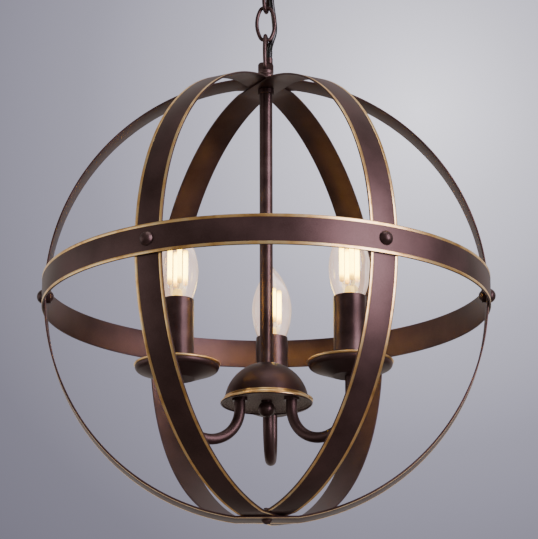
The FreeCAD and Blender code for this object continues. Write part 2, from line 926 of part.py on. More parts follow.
# Dishes and candles, turned about Z and then carried out to their place
def at_light(shape, angle):
    x, y = polar(light_radius, angle)
    return moved(shape, x, y, 0)


def dish():
    hole = arm_tip_diameter / 2 + screw_hole_clearance
    floor = dish_floor_radius
    rim = dish_diameter / 2
    roll = dish_roll_diameter / 2
    wall = dish_thickness
    low = -dish_drop
    edge = low + dish_depth - roll
    bend = rim - 4.6
    bend_height = low + dish_depth * 0.47
    saucer = turned(
        (hole, low),
        (floor, low),
        (bend, bend_height),
        ((rim - 1.4, bend_height + 1.9), (rim - roll, edge)),
        (rim - roll - wall, edge),
        ((rim - 1.6 - wall, bend_height + 2.1), (bend - 0.8, bend_height + wall)),
        (floor, low + wall),
        (hole, low + wall),
    )
    lip = Part.makeTorus(rim - roll, roll, V(0, 0, edge), up)
    return saucer.fuse(lip).removeSplitter()


def dish_nuts():
    low = dish_floor
    high = low + dish_nut_height
    nut = hexagon(dish_nut_across_flats, low, high)
    nut = nut.cut(rod(arm_tip_diameter / 2 + thread_clearance, low, high))
    return Part.makeCompound([at_light(nut, angle) for angle in light_angles])


def candle_sleeve():
    outer = sleeve_diameter / 2
    tube = rod(outer, dish_floor, -sleeve_top_drop)
    return tube.cut(rod(outer - sleeve_wall, dish_floor, -sleeve_top_drop))


def lamp_socket():
    outer = socket_diameter / 2
    cavity = shell_outer + thread_clearance
    tip = arm_tip_diameter / 2 + thread_clearance
    tip_top = -dish_drop + arm_tip_length + 0.3
    floor = socket_floor
    return turned(
        (tip, socket_base),
        (outer - 1.0, socket_base),
        (outer, socket_base + 1.0),
        (outer, shell_bottom + 4.0),
        (outer - 0.8, shell_bottom + 4.8),
        (outer - 0.8, socket_top),
        (cavity, socket_top),
        (cavity, floor),
        (2.9, floor),
        (2.9, tip_top),
        (tip, tip_top),
    )


def socket_shell():
    # The screw shell that the bulb's cap turns into
    low = socket_floor
    high = socket_top - 0.5
    shell = rod(shell_outer, low, high)
    return shell.cut(rod(shell_outer - shell_wall, low, high))


def socket_contacts():
    tab = rod(contact_diameter / 2 + 1.6, socket_floor, contact_top)
    return Part.makeCompound([at_light(tab, angle) for angle in light_angles])


# Bulbs
def bulb_outline(shrink):
    # Radius and height of the glass from the neck to the tip, pulled in by shrink
    widest = bulb_diameter / 2 - shrink
    neck = bulb_neck_diameter / 2 - shrink
    collar = bulb_cap_diameter / 2 + 2.2 - shrink
    foot = bulb_foot
    tip = bulb_tip_rise - shrink * 2.0
    return widest, neck, collar, foot, tip


def bulb_envelope(shrink):
    widest, neck, collar, foot, tip = bulb_outline(shrink)
    mouth = -sleeve_top_drop
    return (
        (collar, foot),
        (collar, foot + 1.5),
        (((collar + neck) / 2 + 0.4, (foot + 1.5 + mouth) / 2 + 0.6), (neck, mouth)),
        ((widest - 1.25, bulb_widest_rise - 12.0), (widest, bulb_widest_rise)),
        ((widest * 0.745, bulb_widest_rise + 20.5), (bulb_tip_radius - shrink, tip - 2.1)),
        crown(bulb_tip_radius - shrink, tip - 2.1, tip),
    )


def bulb_glass():
    skin = bulb_envelope(0.0)
    core = bulb_envelope(bulb_glass_wall)
    foot = skin[0][1]
    outside = turned((0, foot), *skin)
    inside = turned((0, foot), *core)
    return outside.cut(inside)


def bulb_cap():
    # A screw cap of thin sheet with a rounded thread, and the contact under it
    rim = bulb_cap_diameter / 2
    top = bulb_foot
    low = bulb_bottom + 4.0
    pitch = 2.82
    turns = 5
    steps = [(0, top), (rim, top), (rim, low + turns * pitch)]
    for n in range(turns):
        high = low + (turns - n) * pitch
        steps.append(((rim - 0.7, high - pitch / 2), (rim, high - pitch)))
    steps.append((rim - 1.5, bulb_bottom + 2.4))
    steps.append((2.6, bulb_bottom + 1.0))
    steps.append(crown(2.6, bulb_bottom + 1.0, bulb_bottom))
    return turned(*steps)


def bulb_filament():
    # The glass stem in the bulb's foot and the lit sticks around it
    foot = bulb_foot
    top = foot + bulb_stem_height
    stem_radius = bulb_stem_diameter / 2
    core = turned(
        (0, foot),
        (stem_radius, foot),
        ((stem_radius * 0.62, foot + bulb_stem_height * 0.45), (stem_radius * 0.5, top - 1.5)),
        crown(stem_radius * 0.5, top - 1.5, top),
    )
    pieces = [core]
    stick = filament_diameter / 2
    for n in range(filament_count):
        x, y = polar(filament_spread, 45 + 360 * n / filament_count)
        low = top + 1.0
        foot_x, foot_y = polar(stem_radius * 0.3, 45 + 360 * n / filament_count)
        lead = Part.makeLine(V(foot_x, foot_y, top - 2.0), V(x, y, low + 0.5))
        way = V(x - foot_x, y - foot_y, low + 0.5 - top + 2.0)
        bar = Part.makeCylinder(stick * 0.4, lead.Length, V(foot_x, foot_y, top - 2.0), way)
        pieces.append(rod(stick, low, low + filament_length, x, y))
        pieces.append(bar)
    post = rod(stick * 0.5, top - 1.0, top + filament_length + 1.8)
    pieces.append(post)
    for n in range(filament_count):
        x, y = polar(filament_spread, 45 + 360 * n / filament_count)
        start = V(0, 0, top + filament_length + 1.4)
        way = V(x, y, top + 1.0 + filament_length - 0.4) - start
        pieces.append(Part.makeCylinder(stick * 0.4, way.Length, start, way))
    return pieces[0].multiFuse(pieces[1:]).removeSplitter()


# Every node, in the part's own frame
def ceiling_nodes():
    return {
        "mounting_bracket": mounting_bracket(),
        "canopy": canopy(),
        "ceiling_nipple": ceiling_nipple(),
        "nipple_locknut": nipple_locknut(),
        "canopy_ring_nut": canopy_ring_nut(),
        "canopy_loop": canopy_loop(),
        "ground_screw": ground_screw(),
        "cord_bushing": cord_bushing(),
        "canopy_leads": canopy_leads(),
        "wire_connectors": wire_connectors(),
        "chain_link_top": placed_link(0),
        "chain_link_middle": placed_link(1),
        "chain_link_bottom": placed_link(2),
        "supply_cord": supply_cord(),
        "cord_end_sleeve": cord_end_sleeve(),
    }


def cage_nodes():
    nodes = {}
    for n, place in enumerate(("outer", "middle", "inner")):
        nodes[f"hoop_{place}"] = spun(hoop(outer_pad_height - n * strap_thickness), hoop_spacing * n)
    nodes["equator_ring"] = equator_ring()
    nodes["equator_screws"] = equator_screws()
    nodes["equator_nuts"] = equator_nuts()
    nodes["pole_screw"] = pole_screw()
    nodes["pole_nut"] = pole_nut()
    nodes["hanging_collar"] = hanging_collar()
    return nodes


def cluster_nodes():
    return {
        "stem": stem(),
        "stem_locknut": stem_locknut(),
        "stem_lead": stem_lead(),
        "cluster_dome": cluster_dome(),
        "dome_locknut": dome_locknut(),
        "cluster_plate": cluster_plate(),
        "finial": finial(),
        "arm_nuts": arm_nuts(),
        "arm_wires": arm_wires(),
        "dome_connectors": dome_connectors(),
        "dish_nuts": dish_nuts(),
        "socket_contacts": socket_contacts(),
    }


def light_nodes():
    nodes = {}
    for name, angle in zip(light_names, light_angles):
        nodes[f"arm_{name}"] = arm(angle)
        nodes[f"dish_{name}"] = at_light(dish(), angle)
        nodes[f"candle_sleeve_{name}"] = at_light(candle_sleeve(), angle)
        nodes[f"lamp_socket_{name}"] = at_light(lamp_socket(), angle)
        nodes[f"socket_shell_{name}"] = at_light(socket_shell(), angle)
        nodes[f"bulb_glass_{name}"] = at_light(bulb_glass(), angle)
        nodes[f"bulb_cap_{name}"] = at_light(bulb_cap(), angle)
        nodes[f"bulb_filament_{name}"] = at_light(bulb_filament(), angle)
    return nodes


os.makedirs("parts", exist_ok=True)
nodes = ceiling_nodes()
for group in (cage_nodes(), cluster_nodes(), light_nodes()):
    for name, shape in group.items():
        nodes[name] = moved(shape, 0, 0, centre)
for name, shape in nodes.items():
    if not shape.isValid():
        print("not valid:", name)
    shape.exportStep(f"parts/{name}.step")
print("nodes", len(nodes), "centre of the cage", round(centre, 2), "eye", round(eye_height, 2))
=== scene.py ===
import math
import bpy
from mathutils import Matrix, Vector


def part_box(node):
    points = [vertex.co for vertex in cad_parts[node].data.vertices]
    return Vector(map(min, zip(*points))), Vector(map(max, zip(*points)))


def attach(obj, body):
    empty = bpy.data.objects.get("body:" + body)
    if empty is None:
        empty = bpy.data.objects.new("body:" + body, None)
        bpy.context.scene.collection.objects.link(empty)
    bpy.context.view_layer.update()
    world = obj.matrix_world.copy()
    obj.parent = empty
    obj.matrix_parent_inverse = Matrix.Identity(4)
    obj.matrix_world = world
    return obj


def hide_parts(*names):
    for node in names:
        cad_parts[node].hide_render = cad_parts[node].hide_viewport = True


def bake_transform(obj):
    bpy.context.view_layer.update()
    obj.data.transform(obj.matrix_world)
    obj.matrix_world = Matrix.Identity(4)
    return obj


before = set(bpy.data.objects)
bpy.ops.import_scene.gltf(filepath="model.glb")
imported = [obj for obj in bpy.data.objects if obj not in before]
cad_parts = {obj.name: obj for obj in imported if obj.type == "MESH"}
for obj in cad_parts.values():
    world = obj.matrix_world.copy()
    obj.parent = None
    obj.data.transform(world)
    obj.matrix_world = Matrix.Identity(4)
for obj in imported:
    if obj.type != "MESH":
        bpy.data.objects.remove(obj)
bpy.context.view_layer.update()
mm = 0.001
lights = ("left", "right", "back")
ringLow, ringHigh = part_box("equator_ring")
orbCentre = (ringLow + ringHigh) / 2  # the equator ring's middle; most heights are measured from it
print("frame loaded, orb centre", [round(v, 4) for v in orbCentre])


# Small tools for nodes, colours and meshes

def hexColour(code):
    # An sRGB hex value as linear red, green and blue with full alpha
    parts = [int(code[i:i + 2], 16) / 255 for i in (1, 3, 5)]
    return tuple(v / 12.92 if v <= 0.04045 else ((v + 0.055) / 1.055) ** 2.4 for v in parts) + (1.0,)


def addNode(tree, kind, values=None, links=None):
    # A value goes to the socket of that name or number, or else to the node's own setting
    node = tree.nodes.new(kind)
    for name, value in (values or {}).items():
        if isinstance(name, int) or name in node.inputs:
            node.inputs[name].default_value = value
        else:
            setattr(node, name, value)
    for name, source in (links or {}).items():
        tree.links.new(source, node.inputs[name])
    return node


def patternScale(size):
    # A pattern's repeats in a metre, from the size of its grain in millimetres
    return 1000 / size


def newMaterial(name):
    material = bpy.data.materials.new(name)
    material.use_nodes = True
    tree = material.node_tree
    tree.nodes.clear()
    surface = addNode(tree, "ShaderNodeBsdfPrincipled")
    addNode(tree, "ShaderNodeOutputMaterial", links={"Surface": surface.outputs[0]})
    place = addNode(tree, "ShaderNodeTexCoord").outputs["Object"]
    return material, tree, surface, place


def setRamp(node, stops):
    # Each stop is a position with a hex colour or with a level from 0 to 1
    ramp = node.color_ramp
    while len(ramp.elements) < len(stops):
        ramp.elements.new(0.5)
    for element, (position, colour) in zip(ramp.elements, stops):
        element.position = position
        element.color = hexColour(colour) if isinstance(colour, str) else (colour, colour, colour, 1)
    return node.outputs["Color"]


def meshPiece(name, points, faces, material, body=None, slot=None, sharpAngle=35):
    mesh = bpy.data.meshes.new(name)
    mesh.from_pydata([tuple(p) for p in points], [], faces)
    mesh.validate()
    mesh.polygons.foreach_set("use_smooth", [True] * len(mesh.polygons))
    mesh.set_sharp_from_angle(angle=math.radians(sharpAngle))
    mesh.materials.append(material)
    piece = bpy.data.objects.new(name, mesh)
    bpy.context.scene.collection.objects.link(piece)
    if body:
        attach(piece, body)
    return piece


def closedGrid(rows):
    # Faces between rows of points that close both ways, like a tyre
    count, around = len(rows), len(rows[0])
    faces = []
    for i in range(count):
        j = (i + 1) % count
        for a in range(around):
            b = (a + 1) % around
            faces.append((i * around + a, i * around + b, j * around + b, j * around + a))
    return [p for row in rows for p in row], faces


def openGrid(rows, caps=True):
    # Faces between rows of points that close round but not along, with flat ends
    around = len(rows[0])
    faces = []
    for i in range(len(rows) - 1):
        for a in range(around):
            b = (a + 1) % around
            faces.append((i * around + a, i * around + b, (i + 1) * around + b, (i + 1) * around + a))
    if caps:
        faces.append(tuple(reversed(range(around))))
        faces.append(tuple((len(rows) - 1) * around + a for a in range(around)))
    return [p for row in rows for p in row], faces


def joinedTubes(tubes):
    # Several capped tubes as the points and faces of one mesh
    points, faces = [], []
    for rows in tubes:
        morePoints, moreFaces = openGrid(rows)
        faces += [tuple(v + len(points) for v in face) for face in moreFaces]
        points += morePoints
    return points, faces


def arcPoints(start, through, end, steps=10):
    # Points after start along the arc through three points of a profile
    (ax, ay), (bx, by), (cx, cy) = start, through, end
    d = 2 * (ax * (by - cy) + bx * (cy - ay) + cx * (ay - by))
    aa, bb, cc = ax * ax + ay * ay, bx * bx + by * by, cx * cx + cy * cy
    ox = (aa * (by - cy) + bb * (cy - ay) + cc * (ay - by)) / d
    oy = (aa * (cx - bx) + bb * (ax - cx) + cc * (bx - ax)) / d
    radius = math.hypot(ax - ox, ay - oy)
    first, middle, last = (math.atan2(y - oy, x - ox) for x, y in (start, through, end))
    turn = (last - first) % (2 * math.pi)
    if (middle - first) % (2 * math.pi) > turn:
        turn -= 2 * math.pi
    angles = [first + turn * n / steps for n in range(1, steps + 1)]
    return [(ox + radius * math.cos(a), oy + radius * math.sin(a)) for a in angles]


def profile(*steps):
    # A turned profile in millimetres: points, or (through, end) for an arc
    points = [steps[0]]
    for step in steps[1:]:
        if isinstance(step[0], tuple):
            points += arcPoints(points[-1], *step)
        else:
            points.append(step)
    return points


def turnedPiece(name, outline, middle, material, body, slot, segments=96, closed=True, sharpAngle=35):
    # An outline of (radius, height) in millimetres, turned about a vertical line through middle
    points, faces = [], []
    rings = []
    for radius, height in outline:
        if radius < 1e-6:  # on the line itself, where one point does for the whole ring
            rings.append([len(points)])
            points.append(middle + Vector((0, 0, height * mm)))
            continue
        rings.append(range(len(points), len(points) + segments))
        for n in range(segments):
            a = 2 * math.pi * n / segments
            points.append(middle + Vector((radius * math.cos(a), radius * math.sin(a), height)) * mm)
    pairs = list(zip(rings, rings[1:]))
    if closed and len(rings[0]) > 1 and len(rings[-1]) > 1:
        pairs.append((rings[-1], rings[0]))
    for low, high in pairs:
        for n in range(segments):
            m = (n + 1) % segments
            corners = [low[n % len(low)], low[m % len(low)], high[m % len(high)], high[n % len(high)]]
            face = [v for k, v in enumerate(corners) if v not in corners[:k]]
            if len(face) > 2:
                faces.append(face)
    return meshPiece(name, points, faces, material, body, slot, sharpAngle)


def tubeRows(path, radii, sides, closed=False):
    # Rings of points round a path, without twist; one radius for all of it or one for each point
    rows = []
    count = len(path)
    normal = None
    for i, point in enumerate(path):
        before = path[i - 1] if i or closed else point
        after = path[(i + 1) % count] if i < count - 1 or closed else point
        along = (after - before).normalized()
        if normal is None:
            guess = Vector((0, 1, 0)) if abs(along.y) < 0.9 else Vector((1, 0, 0))
            normal = (guess - along * guess.dot(along)).normalized()
        normal = (normal - along * normal.dot(along)).normalized()
        side = along.cross(normal)
        radius = radii[i] if isinstance(radii, (list, tuple)) else radii
        row = []
        for n in range(sides):
            a = 2 * math.pi * n / sides
            row.append(point + (normal * math.cos(a) + side * math.sin(a)) * radius)
        rows.append(row)
    return rows


# Camera, as the photograph was taken: from below, through a long lens

cameraView = {
    "distance": 2375,        # mm from the orb's centre
    "elevation": -16.236,    # degrees, so it looks up
    "roll": -0.122,
    "focalLength": 2798.44,  # in pixels of the picture
    "picture": (538, 539),   # pixels across and down
    "orbInPicture": (266.317, 296.275),
    "sensor": 36,            # mm
    "farLimit": 50,          # m
}


def placeCamera(plan):
    down, roll = math.radians(-plan["elevation"]), math.radians(plan["roll"])
    away = plan["distance"] * mm
    place = orbCentre + Vector((0, -math.cos(down) * away, -math.sin(down) * away))
    forward = (orbCentre - place).normalized()
    right = Vector((1, 0, 0))
    upward = right.cross(forward)
    rolledRight = right * math.cos(roll) + upward * math.sin(roll)
    rolledUp = upward * math.cos(roll) - right * math.sin(roll)
    facing = Matrix((rolledRight, rolledUp, -forward)).transposed()
    width, height = plan["picture"]
    x, y = plan["orbInPicture"]
    seen = Vector(((x - width / 2) / plan["focalLength"], (height / 2 - y) / plan["focalLength"], -1))
    aim = seen.rotation_difference(Vector((0, 0, -1))).to_matrix()
    data = bpy.data.cameras.new("photoCamera")
    data.sensor_width = plan["sensor"]
    data.lens = plan["focalLength"] * plan["sensor"] / max(width, height)
    data.clip_end = plan["farLimit"]
    camera = bpy.data.objects.new("photoCamera", data)
    camera.matrix_world = (facing @ aim).to_4x4()
    camera.location = place
    bpy.context.scene.collection.objects.link(camera)
    bpy.context.scene.camera = camera


placeCamera(cameraView)
print("camera placed")


# Materials

enamelLook = {
    "deep": "#463331",       # the bronze-brown enamel in the hollows of its texture
    "body": "#594443",
    "worn": "#674E4D",       # where it is sprayed thinner
    "speckSize": 0.9,        # mm; real flake is finer, and is drawn as coarse as it needs to show
    "speckShare": 0.45,      # how much the flake counts beside the clouds
    "cloudSize": 38.0,       # mm, the uneven coats
    "roughness": (0.40, 0.50),
    "metallic": 0.88,
    "orangePeel": 1.6,       # mm between the waves of the sprayed skin
    "peelDepth": 0.12,       # mm
}

# The chain, the stem and the turned parts are dipped, darker and greyer than the straps
dippedLook = {
    "deep": "#3C2D2C",
    "body": "#543F3E",
    "worn": "#65514F",
    "speckSize": 0.9,
    "speckShare": 0.45,
    "cloudSize": 16.0,
    "roughness": (0.32, 0.42),
    "metallic": 0.80,
    "orangePeel": 1.1,
    "peelDepth": 0.12,
}


def stovedEnamel(name, look):
    # Bronze enamel stoved on mild steel: a dark brown skin with fine flake, a soft reddish shine
    # and very slight orange peel
    material, tree, surface, place = newMaterial(name)
    clouds = addNode(tree, "ShaderNodeTexNoise",
                     {"Scale": patternScale(look["cloudSize"]), "Detail": 3.0}, {"Vector": place})
    specks = addNode(tree, "ShaderNodeTexNoise",
                     {"Scale": patternScale(look["speckSize"]), "Detail": 2.0, "Roughness": 0.7},
                     {"Vector": place})
    mixed = addNode(tree, "ShaderNodeMath", {"operation": "MULTIPLY_ADD", 1: look["speckShare"]},
                    {0: specks.outputs["Fac"], 2: clouds.outputs["Fac"]})
    shade = addNode(tree, "ShaderNodeValToRGB", links={"Fac": mixed.outputs[0]})
    colour = setRamp(shade, [(0.42, look["deep"]), (0.72, look["body"]), (0.98, look["worn"])])
    sleek, dull = look["roughness"]
    gloss = addNode(tree, "ShaderNodeMapRange",
                    {"From Min": 0.3, "From Max": 0.75, "To Min": sleek, "To Max": dull},
                    {"Value": clouds.outputs["Fac"]})
    peel = addNode(tree, "ShaderNodeTexNoise",
                   {"Scale": patternScale(look["orangePeel"]), "Detail": 1.0}, {"Vector": place})
    skin = addNode(tree, "ShaderNodeBump", {"Strength": 0.10, "Distance": look["peelDepth"] * mm},
                   {"Height": peel.outputs["Fac"]})
    tree.links.new(colour, surface.inputs["Base Color"])
    tree.links.new(gloss.outputs[0], surface.inputs["Roughness"])
    tree.links.new(skin.outputs[0], surface.inputs["Normal"])
    surface.inputs["Metallic"].default_value = look["metallic"]
    return material


gildLook = {
    "shadow": "#D2A264",
    "body": "#FFD08C",
    "bright": "#FFE4B0",
    "wipeLength": 14.0,      # mm, the strokes of the hand that wiped it
    "grit": 0.8,             # mm, coarser than the real grit so that it shows
    "gritDepth": 0.1,        # mm
    "roughness": 0.30,
}


def wipedGoldLacquer(look):
    # Gold lacquer wiped along the edges by hand: metallic, warm, a little uneven along its length
    material, tree, surface, place = newMaterial("wipedGoldLacquer")
    strokes = addNode(tree, "ShaderNodeTexNoise",
                      {"Scale": patternScale(look["wipeLength"]), "Detail": 4.0}, {"Vector": place})
    shade = addNode(tree, "ShaderNodeValToRGB", links={"Fac": strokes.outputs["Fac"]})
    colour = setRamp(shade, [(0.30, look["shadow"]), (0.48, look["body"]), (0.72, look["bright"])])
    grit = addNode(tree, "ShaderNodeTexNoise",
                   {"Scale": patternScale(look["grit"]), "Detail": 2.0}, {"Vector": place})
    skin = addNode(tree, "ShaderNodeBump", {"Strength": 0.15, "Distance": look["gritDepth"] * mm},
                   {"Height": grit.outputs["Fac"]})
    tree.links.new(colour, surface.inputs["Base Color"])
    tree.links.new(skin.outputs[0], surface.inputs["Normal"])
    surface.inputs["Metallic"].default_value = 1.0
    surface.inputs["Roughness"].default_value = look["roughness"]
    return material


powderCoatLook = {
    # low is painted shade in the grain's pits, high a painted highlight on its ridges
    "low": "#584D49",
    "high": "#B8A89F",
    "grain": 1.1,            # mm between the wrinkles
    "grainDepth": 0.3,       # mm
    "roughness": 0.62,
    "metallic": 0.2,
}


def powderCoatPaintedShade(look):
    # Wrinkle-finish powder coat on the plate that closes the dome: matt grey-brown with a grain
    # of about a millimetre, with painted shade in its pits and a painted highlight on its ridges
    material, tree, surface, place = newMaterial("powderCoatPaintedShade")
    grain = addNode(tree, "ShaderNodeTexVoronoi",
                    {"Scale": patternScale(look["grain"]), "Randomness": 1.0}, {"Vector": place})
    # colour follows the grain's height: painted shade in the pits, painted highlight on the ridges
    shade = addNode(tree, "ShaderNodeValToRGB", links={"Fac": grain.outputs["Distance"]})
    colour = setRamp(shade, [(0.05, look["low"]), (0.75, look["high"])])
    skin = addNode(tree, "ShaderNodeBump", {"Strength": 0.5, "Distance": look["grainDepth"] * mm},
                   {"Height": grain.outputs["Distance"]})
    tree.links.new(colour, surface.inputs["Base Color"])
    tree.links.new(skin.outputs[0], surface.inputs["Normal"])
    surface.inputs["Roughness"].default_value = look["roughness"]
    surface.inputs["Metallic"].default_value = look["metallic"]
    return material


plainLooks = {
    # name: (two colours, metallic, roughness, grain in mm, bump)
    "zincPlatedSteel": (("#8F9294", "#B9BCBE"), 1.0, 0.34, 6.0, 0.05),
    "bulbCapNickel": (("#A9A59B", "#C9C5BB"), 1.0, 0.28, 4.0, 0.03),
    "pressedBrass": (("#B08D4A", "#D3B26C"), 1.0, 0.30, 3.0, 0.04),
    "mouldedPhenolic": (("#15120F", "#241E1A"), 0.0, 0.38, 2.0, 0.06),
    "softPvcCord": (("#08080A", "#121216"), 0.0, 0.16, 3.0, 0.05),
    "shrunkSleeve": (("#0B0B0C", "#17171A"), 0.0, 0.30, 1.5, 0.12),
    "wireInsulation": (("#9A958A", "#BDB8AC"), 0.0, 0.35, 2.0, 0.04),
    "mouldedNylonCap": (("#A8521B", "#C4692A"), 0.0, 0.40, 1.5, 0.08),
    "greenLacqueredScrew": (("#0F5A2B", "#1B7A3D"), 0.35, 0.32, 1.0, 0.05),
}


def plainFinish(name):
    # Smaller pieces share one recipe: two near tones over a fine grain, with a faint relief
    (low, high), metallic, roughness, grain, bump = plainLooks[name]
    material, tree, surface, place = newMaterial(name)
    mottle = addNode(tree, "ShaderNodeTexNoise",
                     {"Scale": patternScale(grain), "Detail": 3.0}, {"Vector": place})
    shade = addNode(tree, "ShaderNodeValToRGB", links={"Fac": mottle.outputs["Fac"]})
    colour = setRamp(shade, [(0.35, low), (0.65, high)])
    skin = addNode(tree, "ShaderNodeBump", {"Strength": bump, "Distance": 0.2 * mm},
                   {"Height": mottle.outputs["Fac"]})
    tree.links.new(colour, surface.inputs["Base Color"])
    tree.links.new(skin.outputs[0], surface.inputs["Normal"])
    surface.inputs["Metallic"].default_value = metallic
    surface.inputs["Roughness"].default_value = roughness
    return material


glassLook = {
    "tint": "#FFF8F2",
    "roughness": 0.04,
    "index": 1.5,
    # painted glow: the colour and strength of an emission standing in for the sticks' light in the
    # glass
    "paintedGlowColour": "#FFDCC8",
    "paintedGlowStrength": 0.20,
    "rimShine": 0.35,
    "rimSpread": 0.25,
    "waveSize": 30.0,        # mm between the slow waves of the blown wall
    "waveDepth": 0.4,        # mm
}


def blownGlassWithPaintedGlow(look):
    # Thin blown soda-lime glass: clear, faintly warm, with bright rims where its wall turns edge on,
    # and a painted glow: a faint emission that stands in for the sticks' light scattered in the glass
    material, tree, surface, place = newMaterial("blownGlassWithPaintedGlow")
    waves = addNode(tree, "ShaderNodeTexNoise",
                    {"Scale": patternScale(look["waveSize"]), "Detail": 1.0}, {"Vector": place})
    skin = addNode(tree, "ShaderNodeBump", {"Strength": 0.05, "Distance": look["waveDepth"] * mm},
                   {"Height": waves.outputs["Fac"]})
    tree.links.new(skin.outputs[0], surface.inputs["Normal"])
    surface.inputs["Base Color"].default_value = hexColour(look["tint"])
    surface.inputs["Roughness"].default_value = look["roughness"]
    surface.inputs["IOR"].default_value = look["index"]
    surface.inputs["Transmission Weight"].default_value = 1.0
    # painted glow: the glass is no lamp, this emission stands in for the sticks' light scattered in it
    surface.inputs["Emission Color"].default_value = hexColour(look["paintedGlowColour"])
    surface.inputs["Emission Strength"].default_value = look["paintedGlowStrength"]
    surface.inputs["Sheen Weight"].default_value = look["rimShine"]
    surface.inputs["Sheen Roughness"].default_value = look["rimSpread"]
    return material


phosphorLook = {
    "cold": "#F2C640",
    "roughness": 0.5,
    "strength": 15.0,
    "uneven": 0.2,           # share of the strength by which it varies either way
    "dotSize": 1.2,          # mm, the chips under the phosphor
    "ends": (-1.2, 29.8),    # mm above the orb's middle, where the sticks stop
    # glow and its share of the strength, from the foot of a stick to its top
    "glow": [(0.0, "#E4AE08"), (0.12, "#F4CA20"), (0.24, "#FADC58"), (0.86, "#FADC58"),
             (1.0, "#F4CA20")],
    "fade": [(0.0, 0.06), (0.09, 0.2), (0.20, 1.0), (0.86, 1.0), (1.0, 0.2)],
}


def litPhosphor(look):
    # Silicone phosphor over the lit chips: yellow where it is cold, too bright to look at when lit
    material, tree, surface, place = newMaterial("litPhosphor")
    dots = addNode(tree, "ShaderNodeTexNoise",
                   {"Scale": patternScale(look["dotSize"]), "Detail": 1.0}, {"Vector": place})
    uneven = addNode(tree, "ShaderNodeMapRange",
                     {"To Min": look["strength"] * (1 - look["uneven"]),
                      "To Max": look["strength"] * (1 + look["uneven"])},
                     {"Value": dots.outputs["Fac"]})
    height = addNode(tree, "ShaderNodeSeparateXYZ", links={"Vector": place})
    low, high = (orbCentre.z + v * mm for v in look["ends"])
    along = addNode(tree, "ShaderNodeMapRange", {"From Min": low, "From Max": high},
                    {"Value": height.outputs["Z"]})
    tint = setRamp(addNode(tree, "ShaderNodeValToRGB", links={"Fac": along.outputs[0]}), look["glow"])
    fade = setRamp(addNode(tree, "ShaderNodeValToRGB", links={"Fac": along.outputs[0]}), look["fade"])
    glow = addNode(tree, "ShaderNodeMath", {"operation": "MULTIPLY"}, {0: uneven.outputs[0], 1: fade})
    surface.inputs["Base Color"].default_value = hexColour(look["cold"])
    surface.inputs["Roughness"].default_value = look["roughness"]
    tree.links.new(tint, surface.inputs["Emission Color"])
    tree.links.new(glow.outputs[0], surface.inputs["Emission Strength"])
    return material


stemGlassPaintedLook = {
    # low and high are golden tones painted in for the sticks' light; glow and strength are a painted
    # glow
    "low": "#C99A2C",
    "high": "#F4DA70",
    "glow": "#E2C600",
    "strength": 1.3,
    "bandSize": 3.0,         # mm, the folds where the glass is pinched
    "roughness": 0.25,
}


def stemGlassPaintedGlow(look):
    # The pinched glass stem under the sticks: its golden colour and its glow are painted light from the
    # sticks, as the glass itself is no lamp
    material, tree, surface, place = newMaterial("stemGlassPaintedGlow")
    bands = addNode(tree, "ShaderNodeTexNoise",
                    {"Scale": patternScale(look["bandSize"]), "Detail": 2.0}, {"Vector": place})
    shade = addNode(tree, "ShaderNodeValToRGB", links={"Fac": bands.outputs["Fac"]})
    colour = setRamp(shade, [(0.35, look["low"]), (0.65, look["high"])])
    tree.links.new(colour, surface.inputs["Base Color"])
    surface.inputs["Roughness"].default_value = look["roughness"]
    # painted glow: an emission standing in for the sticks' light in the stem
    surface.inputs["Emission Color"].default_value = hexColour(look["glow"])
    surface.inputs["Emission Strength"].default_value = look["strength"]
    return material


enamel = stovedEnamel("stoveEnamelledSteel", enamelLook)
dipped = stovedEnamel("dippedBronzeLacquer", dippedLook)
gold = wipedGoldLacquer(gildLook)
powderCoat = powderCoatPaintedShade(powderCoatLook)
glass = blownGlassWithPaintedGlow(glassLook)
phosphor = litPhosphor(phosphorLook)
paintedGlowStemGlass = stemGlassPaintedGlow(stemGlassPaintedLook)
finishes = {name: plainFinish(name) for name in plainLooks}
print("materials made")


def wear(material, *names):
    # Gives nodes of the frame their finish
    for name in names:
        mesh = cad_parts[name].data
        mesh.materials.clear()
        mesh.materials.append(material)


wear(enamel, "canopy")
wear(dipped, "canopy_loop", "canopy_ring_nut", "hanging_collar", "equator_screws", "equator_nuts",
     "pole_screw", "stem_locknut", "finial", "arm_nuts", "dish_nuts")
wear(finishes["zincPlatedSteel"], "mounting_bracket", "ceiling_nipple", "nipple_locknut", "pole_nut",
     "dome_locknut")
wear(finishes["greenLacqueredScrew"], "ground_screw")
wear(finishes["mouldedPhenolic"], "cord_bushing", *[f"lamp_socket_{side}" for side in lights])
wear(finishes["wireInsulation"], "canopy_leads", "arm_wires")
wear(finishes["mouldedNylonCap"], "wire_connectors", "dome_connectors")
wear(finishes["pressedBrass"], "socket_contacts", *[f"socket_shell_{side}" for side in lights])
wear(finishes["bulbCapNickel"], *[f"bulb_cap_{side}" for side in lights])
wear(finishes["softPvcCord"], "stem_lead")


# Straps of the cage: rolled flat bar with softened corners, and a gold line along both outside edges

strapBar = {
    "width": 25.4,
    "thickness": 1.6,
    "cornerRadius": 0.35,
    "ringRadius": 190.0,
    "hoopReach": 187.92,     # half the hoops' width, inside the ring
    "hoopHalfHeight": 194.5,
    "padHalf": 26.3,         # flat part at the poles, where the hoops cross
    "hoopDrop": 0.95,        # the hoops' middle lies this much under the ring's
    "hoopTurns": {"hoop_outer": 0.0, "hoop_middle": 60.0, "hoop_inner": 120.0},
    "goldFrom": 10.05,       # mm from the strap's middle line
    "goldTo": 12.45,
    "goldProud": 0.06,
    "goldSlope": 0.12,       # run of its sloped sides
    "goldSunk": 0.15,        # mm that its back lies inside the strap
}


